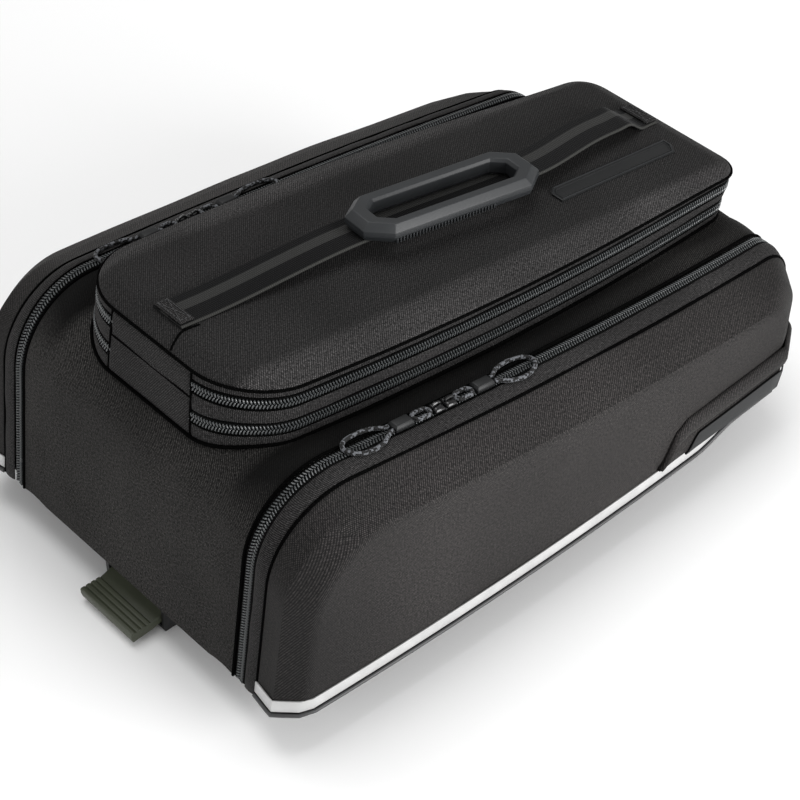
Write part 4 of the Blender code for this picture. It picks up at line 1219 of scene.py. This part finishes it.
def shell_line(section, inset=0.0):
    """Arch of one shell section."""
    drop = RIM_FALL + (SHELL_DROP - RIM_FALL) * section[3]
    return arch(inset=inset, front_in=SHELL_FRONT_CHAMFER * section[1],
                rear_in=SHELL_REAR_CHAMFER * section[2], drop=drop, walls=True)


def shell_row(section, side, inset=0.0, sink=0.0):
    """One row of a shell's skin in space."""
    return side_row(shell_line(section, inset), side,
                    bowed(SHELL_INNER + SHELL_DEPTH * section[0] - sink))


class TRUNKBAG_OT_shells(bpy.types.Operator):
    """Adds the moulded side shells."""

    bl_idname = "trunkbag.shells"
    bl_label = "Side shells"

    def execute(self, context):
        for word, side in SIDES:
            rows = [shell_row(shell_section(share), side)
                    for share in (0.0, 0.08, 0.2, 0.32, 0.44, 0.5, 0.56, 0.68, 0.8, 0.9, 0.96)]
            for inset, sink in ((0.0008, 0.0004), (0.0022, 0.0), (0.0040, 0.0)):
                rows.append(shell_row(SHELL_SECTIONS[2], side, inset, sink))
            face_edge = rows[-1]
            start, end = face_edge[0], face_edge[-1]
            half = bowed(SHELL_INNER + SHELL_DEPTH)
            count = len(face_edge) - 1
            for step in range(1, 25):
                share = step / 24
                row = []
                for index, top in enumerate(face_edge):
                    foot = start.x + (end.x - start.x) * index / count
                    x = top.x + (foot - top.x) * share
                    z = top.z + (BASE + foot_rise(foot) - top.z) * share
                    row.append(Vector((x, side * half(x), z)))
                rows.append(row)
            for row in rows:
                row[0].z = BASE
                row[-1].z = BASE + foot_rise(row[-1].x)
            shape, first, _ = skin(rows)
            bmesh.ops.remove_doubles(shape, verts=shape.verts, dist=10.0 * WELD)
            rim_line = set(first)
            floor = [edge for edge in shape.edges
                     if edge.is_boundary and not rim_line.issuperset(edge.verts)]
            rim = shape.edges.new((first[0], first[-1]))
            bmesh.ops.contextual_create(shape, geom=[rim, *floor])
            face_away(shape, Vector((0.0, side * SHELL_INNER, BASE + 0.03)))
            ruffle(shape, *SHELL_WAVES, lambda p: ease((p.z - BASE) / 0.02) * ease(
                (abs(p.y) - SHELL_INNER) / 0.01))
            map_panels(shape)
            shell = add_piece("shell_" + word, shape, "shell", ("side_shell_" + word,))
            add_wall(shell, SHELL_WALL * CLOTH_SHARE)
            welt("shell_welt_" + word, shell_row(SHELL_SECTIONS[0], side, 0.0002))
        return {"FINISHED"}


class TRUNKBAG_OT_rims(bpy.types.Operator):
    """Adds the cloth rims and floors of the side pockets."""

    bl_idname = "trunkbag.rims"
    bl_label = "Pocket rims"

    def execute(self, context):
        for word, side in SIDES:
            rows = [side_row(arch(inset=-RIM_SWELL * puffed(share), drop=RIM_FALL * share,
                                  walls=True),
                             side, bowed(RIM_INNER + RIM_WIDTH * share))
                    for share in (0.0, 0.04, 0.12, 0.28, 0.5, 0.72, 0.88, 0.96, 1.0)]
            add_cloth("rim_cloth_" + word, rows, Vector((0.0, side * RIM_INNER, BASE + 0.03)),
                      "band", "side_rim_" + word, RIM_THICKNESS * CLOTH_SHARE,
                      RIM_WAVES)
            dressed_copy("side_gusset_" + word, "pocket_floor_" + word, "band", 0.0004)
        return {"FINISHED"}


class TRUNKBAG_OT_side_zips(bpy.types.Operator):
    """Adds the side pockets' zips."""

    bl_idname = "trunkbag.side_zips"
    bl_label = "Side zips"

    def execute(self, context):
        for word, side in SIDES:
            lines = [side_row(arch(inset=SIDE_ZIP_RECESS, walls=True), side, bowed(half))
                     for half in (SIDE_ZIP_INNER, SIDE_ZIP_OUTER)]
            lower, upper = reversed(lines) if side == NEAR else lines
            coil_zip("side_zip_" + word + "_chain", lower, upper,
                     ("side_zip_" + word,))
        return {"FINISHED"}


# Section of the lid's rounded edge, from its turned-in foot to its top: shares of the
# rounding's width inward and of the crown's height
LID_EDGE = ((0.5, -0.2), (0.2, -0.02), (0.0, 0.02), (0.015, 0.16), (0.05, 0.28), (0.12, 0.37),
            (0.26, 0.50), (0.44, 0.66), (0.62, 0.81), (0.78, 0.92), (0.90, 0.98), (1.0, 1.0))


class TRUNKBAG_OT_lid(bpy.types.Operator):
    """Adds the padded lid panel."""

    bl_idname = "trunkbag.lid"
    bl_label = "Lid panel"

    def execute(self, context):
        rows = [at_layer(plan(1.0, inset * LID_ROUNDING), 0, rise * LID_CROWN)
                for inset, rise in LID_EDGE]
        shape, _, _ = skin(rows, closed=True)
        top = []
        for point in plan_near(1.0, LID_ROUNDING):
            start = on_lid(point.x, point.y, 0.0)
            end = on_lid(point.x, -point.y, 0.0)
            top.append([start, *between(start, end, ACROSS_STEPS), end])
        shape, _, _ = skin(top, shape=shape)
        bmesh.ops.remove_doubles(shape, verts=shape.verts, dist=WELD)
        face_away(shape, Vector((0.0, 0.0, BASE + 0.08)))
        for vert in shape.verts:
            vert.co.z += lid_relief(vert.co.x, vert.co.y)
        map_panels(shape)
        panel = add_piece("lid_cloth", shape, "lid", ("lid_panel",))
        add_wall(panel, LID_CLOTH)
        grow = panel.modifiers.new("fine", "SUBSURF")
        grow.levels = grow.render_levels = 1
        welt("lid_welt", at_layer(plan(1.0, -0.0003), 0, 0.0001), closed=True,
             radius=LID_WELT)
        return {"FINISHED"}


# Stack layer of the seam across the front, between the two hinge panels
MID_SEAM = 2.35

# Small pressed dents on the lid: place along, place across, half length and half width; then
# their depth and the width of their soft edges
LID_DENTS = ((-0.0385, -0.047, 0.0095, 0.0035), (0.100, -0.052, 0.0085, 0.0035),
             (-0.0385, 0.047, 0.0095, 0.0035), (0.100, 0.052, 0.0085, 0.0035))
DENT_DEPTH = 0.0011
DENT_EDGE = 0.003

# Height of the lid's soft crown, and where its slanted sides start and how steeply they fall
LID_SWELL = 0.0006
SLANT_START = 0.0525
SLANT_FALL = 0.11


def lid_relief(x, y):
    """Rise and fall of the lid's cloth: a soft crown, pressed dents and slow unevenness."""
    half = LID_HALF_WIDTH - LID_TAPER * x / REAR + LID_BOW * bow(x)
    inside = ease((half - abs(y)) / 0.02)
    ends = ease((x - FRONT - LID_FRONT_SETBACK) / 0.02) * ease(
        (lid_rear(1.0) - x) / 0.02)
    size, depth = LID_WAVES
    rise = inside * ends * (LID_SWELL + depth * noise.noise(Vector((x, y, 0.0)) / size))
    rise -= SLANT_FALL * ends * max(abs(y) - SLANT_START, 0.0) * ease((half - abs(y)) / 0.008)
    for along_x, across, length, width in LID_DENTS:
        dx = max(abs(x - along_x) - length, 0.0) / DENT_EDGE
        dy = max(abs(y - across) - width, 0.0) / DENT_EDGE
        rise -= DENT_DEPTH * (1.0 - ease(math.hypot(dx, dy)))
    return rise


class TRUNKBAG_OT_lid_bands(bpy.types.Operator):
    """Adds the cloth bands between the lid's zips, and the fabric hinges at the front."""

    bl_idname = "trunkbag.lid_bands"
    bl_label = "Lid bands"

    def execute(self, context):
        for name, layer, swell in (("lid_rim_band", 0, 0.0002), ("lid_middle_band", 2, 0.0004),
                                   ("lid_lower_band", 4, 0.0004)):
            rows = []
            for share in BAND_SHARES:
                level = STACK_PLAN[layer] + (STACK_PLAN[layer + 1] - STACK_PLAN[layer]) * share
                out = swell * puffed(share) if 0.0 < share < 1.0 else -0.0009
                line = plan(level, -out)
                rows.append([top.lerp(foot, share) for top, foot in
                             zip(at_layer(line, layer), at_layer(line, layer + 1))])
            add_cloth(name.replace("band", "cloth"), rows, Vector((0.0, 0.0, BASE + 0.1)),
                      "band", name, BAND_CLOTH, BAND_WAVES, closed=True)
        for name, first, last in (("lid_hinge_upper", 0.0, MID_SEAM),
                                  ("lid_hinge_lower", MID_SEAM, 5.0)):
            rows = []
            for share in (0.0, 0.04, 0.12, 0.3, 0.5, 0.7, 0.88, 0.96, 1.0):
                layer = min(first + (last - first) * share, 4.9999)
                upper = int(layer)
                part = layer - upper
                level = STACK_PLAN[upper] + (STACK_PLAN[upper + 1] - STACK_PLAN[upper]) * part
                near = plan_near(level)[0]
                top = stack_height(near.x, upper)
                height = top + (stack_height(near.x, upper + 1) - top) * part
                row = []
                for step in range(25):
                    aside = 1.0 - step / 12.0
                    out = 0.0016 * puffed(share, 0.5) * (1.0 - ease((abs(aside) - 0.92) / 0.08))
                    row.append(Vector((near.x - out + 0.0004, near.y * aside * 1.06, height)))
                rows.append(row)
            add_cloth(name + "_cloth", rows, Vector((0.1, 0.0, BASE + 0.1)), "twill",
                      name, HINGE_CLOTH, HINGE_WAVES)
        welt("lid_foot_welt", at_layer(plan(0.0, -0.0008), 5, 0.0004), closed=True)
        for level in (1, 2, 3, 4):
            welt("zip_seam_" + str(level), at_layer(zip_plan(STACK_PLAN[level], -0.0003), level),
                 radius=ZIP_WELT)
        ends = [plan_near(level)[0] for level in STACK_PLAN]
        heights = [stack_height(p.x, level) for level, p in enumerate(ends)]
        middle = int(MID_SEAM)
        split = ends[middle].lerp(ends[middle + 1], MID_SEAM - middle)
        rise = heights[middle] + (heights[middle + 1] - heights[middle]) * (MID_SEAM - middle)
        across = [Vector((split.x, share * split.y, rise)) for share in (-1.0, -0.5, 0.0, 0.5, 1.0)]
        welt("hinge_seam", across, radius=HINGE_WELT)
        for word, side in SIDES:
            edge = [Vector((p.x - 0.0002, side * abs(p.y) * 1.03, z))
                    for p, z in zip(ends, heights)]
            welt("hinge_edge_" + word, edge, radius=HINGE_WELT)
        return {"FINISHED"}


class TRUNKBAG_OT_lid_zips(bpy.types.Operator):
    """Adds the lid's two zips and the sliders that meet at the rear."""

    bl_idname = "trunkbag.lid_zips"
    bl_label = "Lid zips"

    def execute(self, context):
        for word, layer in (("upper", 1), ("lower", 3)):
            lower, upper = [at_layer(zip_plan(STACK_PLAN[level]), level)
                            for level in (layer + 1, layer)]
            coil_zip("lid_zip_" + word + "_chain", lower, upper,
                     ("lid_zip_" + word,))
        for word, _ in SIDES:
            dressed_copy("lid_slider_" + word, "lid_slider_body_" + word, "enamel",
                         0.0007)
            dressed_copy("lid_tab_" + word, "lid_pull_tab_" + word, "rubber",
                         0.0004)
        return {"FINISHED"}


def foot_path(start, end, steps, front_corner, rear_corner):
    """Plan points (x, half width, lean) along a shell's foot."""
    outer = SHELL_INNER + SHELL_DEPTH
    path = []
    if front_corner:
        for step in range(10):
            section = shell_section(step / 10.0)
            x = FRONT + SHELL_FRONT_CHAMFER * section[1]
            path.append((x, bowed(SHELL_INNER + SHELL_DEPTH * section[0])(x), FRONT_LEAN))
    last = steps if rear_corner else steps + 1
    for step in range(1 if front_corner else 0, last):
        x = start + (end - start) * step / steps
        path.append((x, bowed(outer)(x), 0.0))
    if rear_corner:
        for step in range(10, -1, -1):
            section = shell_section(step / 10.0)
            x = REAR_BASE - SHELL_REAR_CHAMFER * section[2]
            path.append((x, bowed(SHELL_INNER + SHELL_DEPTH * section[0])(x), REAR_LEAN))
    return path


def outset(path, distance):
    """Plan points moved out from the shell by a distance."""
    moved = []
    for index, (x, y, lean) in enumerate(path):
        before = path[max(index - 1, 0)]
        after = path[min(index + 1, len(path) - 1)]
        run = Vector((after[0] - before[0], after[1] - before[1])).normalized()
        moved.append((x - run.y * distance, y + run.x * distance, lean))
    return moved


def foot_rows(side, path, low, high, gap, thickness, sections):
    """Rows of a raised strip on a shell's outer face; sections are (height, relief) shares."""
    rows = []
    for height_share, relief in sections:
        placed = outset(path, gap + thickness * relief)
        row = []
        for index, (x, y, lean) in enumerate(placed):
            height = low(index) + (high(index) - low(index)) * height_share
            row.append(Vector((x + height * lean, side * y, BASE + height)))
        rows.append(row)
    return rows


# Sections across the raised strips: shares of height and of relief
STRIP_SECTIONS = ((0.0, 0.0), (0.02, 0.8), (0.08, 1.0), (0.5, 1.0), (0.92, 1.0), (0.98, 0.8),
                  (1.0, 0.0))
PATCH_SECTIONS = ((0.0, 0.0), (0.02, 0.7), (0.05, 0.9), (0.3, 0.95), (0.46, 0.9), (0.50, 0.7),
                  (0.54, 0.95), (0.62, 1.5), (0.74, 1.75), (0.86, 1.5), (0.95, 0.9), (1.0, 0.0))

# Upper edge of a corner patch: shares of its length, from the front tip, and of its height
PATCH_RISE = ((0.0, 0.36), (0.17, 0.90), (0.24, 1.0), (1.0, 1.0))


class TRUNKBAG_OT_foot_trim(bpy.types.Operator):
    """Adds the piping, reflective strip and rear corner patch along the foot of each shell."""

    bl_idname = "trunkbag.foot_trim"
    bl_label = "Foot trim"

    def execute(self, context):
        start = FRONT + SHELL_FRONT_CHAMFER
        end = REAR_BASE - SHELL_REAR_CHAMFER
        patch_start = end - PATCH_LENGTH
        low = PIPING_HEIGHT + STRIP_CLEARANCE
        whole = outset(foot_path(start, end, 60, True, True), 0.0010)
        strip = foot_path(start, STRIP_END, 60, True, False)
        patch = foot_path(patch_start, end, 40, False, True)[:-2]
        plate_start = patch_start + PLATE_SETBACK
        plate = foot_path(plate_start, end, 36, False, True)[:-9]

        def patch_foot(x):
            """Lower edge of the patch, just above the strip."""
            return PATCH_FOOT - PATCH_FOOT_FALL * (x - patch_start) / PATCH_LENGTH

        def strip_top(index):
            """Upper edge of the strip, which the patch covers at the rear."""
            return min(low + STRIP_WIDTH, patch_foot(strip[index][0]) - GAP)

        def patch_top(index):
            """Upper edge of the patch."""
            share = (patch[index][0] - patch_start) / PATCH_LENGTH
            return PATCH_HEIGHT * along(PATCH_RISE, share)

        def plate_foot(index):
            """Lower edge of the plate."""
            return patch_foot(plate[index][0]) + PLATE_MARGIN

        def plate_top(index):
            """Upper edge of the plate, which rises along its slanted front end."""
            rise = max(ease((plate[index][0] - plate_start) / PLATE_SLANT), 0.1)
            return plate_foot(index) + (PLATE_HEIGHT - plate_foot(index)) * rise

        for word, side in SIDES:
            line = []
            for x, y, lean in whole:
                height = foot_rise(x) + PIPING_HEIGHT / 2.0
                line.append(Vector((x + height * lean, side * y, BASE + height)))
            add_cord("piping_" + word, line, PIPING_HEIGHT / 2.0, 10, "piping",
                     ("foot_piping_" + word,))
            middle = Vector((0.0, 0.0, BASE))
            add_cloth("reflective_tape_" + word,
                      foot_rows(side, strip, lambda index: low + foot_rise(strip[index][0]),
                                strip_top, GAP, 0.0007, STRIP_SECTIONS),
                      middle, "reflective", "reflective_strip_" + word,
                      REFLECTIVE_FILM)
            add_cloth("corner_cloth_" + word,
                      foot_rows(side, patch, lambda index: patch_foot(patch[index][0]),
                                patch_top, GAP, PATCH_THICKNESS, PATCH_SECTIONS),
                      middle, "shell", "corner_patch_" + word, PATCH_CLOTH)
            add_cloth("corner_rubber_" + word,
                      foot_rows(side, plate, plate_foot, plate_top,
                                PATCH_THICKNESS + 2.0 * GAP, 0.0010, STRIP_SECTIONS),
                      middle, "plate", "corner_plate_" + word,
                      PLATE_RUBBER)
        return {"FINISHED"}


def strap_rise(x):
    """Height of the strap's underside above the lid."""
    length = strap_end(1.0) - strap_end(0.0)
    flat = (ANCHOR_LENGTH + 2.0 * ANCHOR_THICKNESS) / length
    front = (GRIP_X - GRIP_LENGTH / 2.0 - strap_end(0.0)) / length
    rise = ((0.0, 0.0), (flat, 0.0), (front, 1.0), (1.0 - 2.5 * flat, 1.0), (1.0 - flat, 0.0),
            (1.0, 0.0))
    return GAP + STRAP_LIFT * along(rise, (x - strap_end(0.0)) / length)


class TRUNKBAG_OT_strap(bpy.types.Operator):
    """Adds the webbing strap and its stitched ends."""

    bl_idname = "trunkbag.strap"
    bl_label = "Strap"

    def execute(self, context):
        half = STRAP_WIDTH / 2.0
        thick = STRAP_THICKNESS * 0.86
        edge = 0.0006
        section = ((-half, 0.3), (-half + edge, 0.95), (-half + 3.0 * edge, 1.0),
                   (-0.4 * half, 1.0), (0.0, 1.0), (0.4 * half, 1.0), (half - 3.0 * edge, 1.0),
                   (half - edge, 0.95), (half, 0.3), (half - edge, 0.0), (0.0, 0.0),
                   (-half + edge, 0.0))
        rows = []
        for step in range(161):
            x = strap_end(step / 160)
            low = strap_rise(x)
            rows.append([on_lid(x, strap_y(x) + across, low + thick * rise + 0.0001)
                         for across, rise in section])
        shape, _, _ = skin(rows, closed=True)
        close_ends(shape)
        face_outward(shape)
        add_piece("webbing_strap", shape, "webbing", ("carry_strap",))
        top = STRAP_THICKNESS + 2.0 * GAP
        route = [on_lid(x, y, -LID_CROWN * fall + 0.0004)
                 for x, y, fall in ((-0.1345, -0.0105, 0.0), (-0.1435, -0.0100, 0.0),
                                    (-0.1490, -0.0112, 0.36), (-0.1540, -0.0135, 0.80))]
        welt("lid_front_seam", smooth(route, 4), radius=HINGE_WELT)
        for word, start in (("front", strap_end(0.0)), ("rear", strap_end(1.0) - ANCHOR_LENGTH)):
            dressed_copy("strap_anchor_" + word, "strap_patch_" + word, "band", 0.0003)
            middle = strap_y(start)
            reach = half - 0.0026
            ends = (start + 0.0012, start + ANCHOR_LENGTH - 0.0012)
            corners = [on_lid(ends[end], middle + way * reach, top + 0.0011)
                       for end, way in ((0, -1.0), (1, -1.0), (1, 1.0), (0, 1.0))]
            pairs = ((0, 1), (1, 2), (2, 3), (3, 0), (0, 2), (1, 3))
            stitches("strap_stitches_" + word, [[corners[a], corners[b]] for a, b in pairs])
        return {"FINISHED"}


class TRUNKBAG_OT_grip(bpy.types.Operator):
    """Adds the ring-shaped rubber grip over the strap."""

    bl_idname = "trunkbag.grip"
    bl_label = "Grip"

    def execute(self, context):
        dressed_copy("handle_grip", "rubber_grip", "rubber", 0.0004, crease=14.0)
        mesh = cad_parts["handle_grip"].data
        spans = [[mesh.vertices[index].co for index in edge.vertices] for edge in mesh.edges]
        spans = [span for span in spans if (span[0] - span[1]).length > 0.5 * GRIP_LENGTH]
        first, last = sorted(min(spans, key=lambda span: span[0].y + span[1].y),
                             key=lambda point: point.x)
        foot = [first.lerp(last, share) - Vector((0.0, 0.0, 0.0022)) for share in (0.01, 0.72)]
        head = [point + Vector((0.0, 0.0, 0.0016)) for point in foot]
        shape = bmesh.new()
        repeat(shape, pebble("ridge", (0.0010, 0.0028, 0.0014), (0.0, 0.0, 0.0), 0.0003),
               frames_between(foot, head, 0.0020))
        add_piece("grip_ridges", shape, "rubber")
        return {"FINISHED"}


class TRUNKBAG_OT_label(bpy.types.Operator):
    """Adds the bare rubber patch on the lid, with a raised border."""

    bl_idname = "trunkbag.label"
    bl_label = "Label patch"

    def execute(self, context):
        half_x = LABEL_LENGTH / 2.0
        half_y = LABEL_WIDTH / 2.0
        slant = LABEL_WIDTH / 3.0
        outline = ((-half_x, half_y - slant), (-half_x, -half_y), (half_x - slant, -half_y),
                   (half_x, 0.0), (half_x, half_y), (-half_x + slant, half_y))
        shape = bmesh.new()
        corners = [shape.verts.new(on_lid(LABEL_X + x, LABEL_Y + y, GAP)) for x, y in outline]
        face = shape.faces.new(corners)
        shape.normal_update()
        if face.normal.z < 0.0:
            bmesh.ops.reverse_faces(shape, faces=[face])
        made = bmesh.ops.extrude_face_region(shape, geom=[face])["geom"]
        lifted = [item for item in made if isinstance(item, bmesh.types.BMVert)]
        bmesh.ops.translate(shape, vec=UP * LABEL_THICKNESS, verts=lifted)
        lid_face = [item for item in made if isinstance(item, bmesh.types.BMFace)][0]
        for width, rise in ((0.0004, 0.0002), (0.0006, 0.0), (0.0004, -0.0004), (0.0004, 0.0),
                            (0.0003, 0.0003), (0.0004, 0.0), (0.0003, -0.0003)):
            bmesh.ops.inset_region(shape, faces=[lid_face], thickness=width,
                                   use_even_offset=True)
            bmesh.ops.translate(shape, vec=UP * rise, verts=lid_face.verts)
        face_outward(shape)
        map_panels(shape)
        add_piece("label_rubber", shape, "plate", ("label_patch",), crease=30.0)
        ridge = [on_lid(LABEL_X + x * 0.975, LABEL_Y + y * 0.86, GAP + LABEL_THICKNESS + 0.0001)
                 for x, y in outline]
        add_cord("label_outline", ridge, 0.0003, 6, "rubber", closed=True)
        return {"FINISHED"}


# Route of a slider's bridge: share of its length, and height over its body
BRIDGE_ROUTE = ((0.2, -0.0006), (0.22, 0.0008), (0.4, 0.0014), (0.7, 0.0014), (0.9, 0.0007),
                (0.94, -0.0006))


class TRUNKBAG_OT_sliders(bpy.types.Operator):
    """Adds the side zips' sliders, each with a bridge over its body."""

    bl_idname = "trunkbag.sliders"
    bl_label = "Side sliders"

    def execute(self, context):
        for tag, side, way in PULLS:
            dressed_copy("slider_" + tag, "slider_body_" + tag, "enamel", 0.0006)
            x = PULL_X + way * 2.0 * GAP
            route = [on_side(side, x + way * SLIDER_LENGTH * share, 0.0,
                             GAP + SLIDER_HEIGHT + rise) for share, rise in BRIDGE_ROUTE]
            add_cord("slider_bridge_" + tag, smooth(route, 4), 0.0008, 8, "enamel")
        return {"FINISHED"}


class TRUNKBAG_OT_rail(bpy.types.Operator):
    """Adds the rack rail, its plate and bracket, the pin and the thumb lever."""

    bl_idname = "trunkbag.rail"
    bl_label = "Rail and lever"

    def execute(self, context):
        dressed_copy("rack_rail", "rail_body", "nylon", 0.0006)
        dressed_copy("mount_plate", "rail_plate", "nylon", 0.0005)
        dressed_copy("lever_bracket", "bracket_body", "nylon", 0.0005)
        dressed_copy("release_lever", "thumb_lever", "lever", 0.0004, "lever")
        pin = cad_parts["lever_pin"]
        pin.data.materials.clear()
        pin.data.materials.append(finish("steel"))
        return {"FINISHED"}


class TRUNKBAG_PT_panel(bpy.types.Panel):
    """Lists the bag's sizes, colours and pieces."""

    bl_idname = "TRUNKBAG_PT_panel"
    bl_label = "Trunk bag"
    bl_space_type = "VIEW_3D"
    bl_region_type = "UI"
    bl_category = "Trunk bag"

    def draw(self, context):
        for group in (context.scene.trunk_bag_sizes, context.scene.trunk_bag_colours):
            for name in group.bl_rna.properties.keys():
                if name not in ("name", "rna_type"):
                    self.layout.prop(group, name)
        for piece in PIECES:
            self.layout.operator(piece.bl_idname)


# The stage and the cords come first
PIECES = (TRUNKBAG_OT_stage, TRUNKBAG_OT_cords, TRUNKBAG_OT_body, TRUNKBAG_OT_shells,
          TRUNKBAG_OT_rims, TRUNKBAG_OT_side_zips, TRUNKBAG_OT_lid, TRUNKBAG_OT_lid_bands,
          TRUNKBAG_OT_lid_zips, TRUNKBAG_OT_foot_trim, TRUNKBAG_OT_strap, TRUNKBAG_OT_grip,
          TRUNKBAG_OT_label, TRUNKBAG_OT_sliders, TRUNKBAG_OT_rail)
CLASSES = (BagSizes, BagColours, *PIECES, TRUNKBAG_PT_panel)


def register():
    """Registers the classes and the scene's settings."""
    for made in CLASSES:
        bpy.utils.register_class(made)
    bpy.types.Scene.trunk_bag_sizes = PointerProperty(type=BagSizes)
    bpy.types.Scene.trunk_bag_colours = PointerProperty(type=BagColours)


def unregister():
    """Takes the settings and classes away again."""
    del bpy.types.Scene.trunk_bag_colours
    del bpy.types.Scene.trunk_bag_sizes
    for made in reversed(CLASSES):
        bpy.utils.unregister_class(made)


def main():
    """Builds every piece in order."""
    register()
    for piece in PIECES:
        group, name = piece.bl_idname.split(".")
        getattr(getattr(bpy.ops, group), name)()
    bpy.context.view_layer.update()


if __name__ == "__main__":
    main()
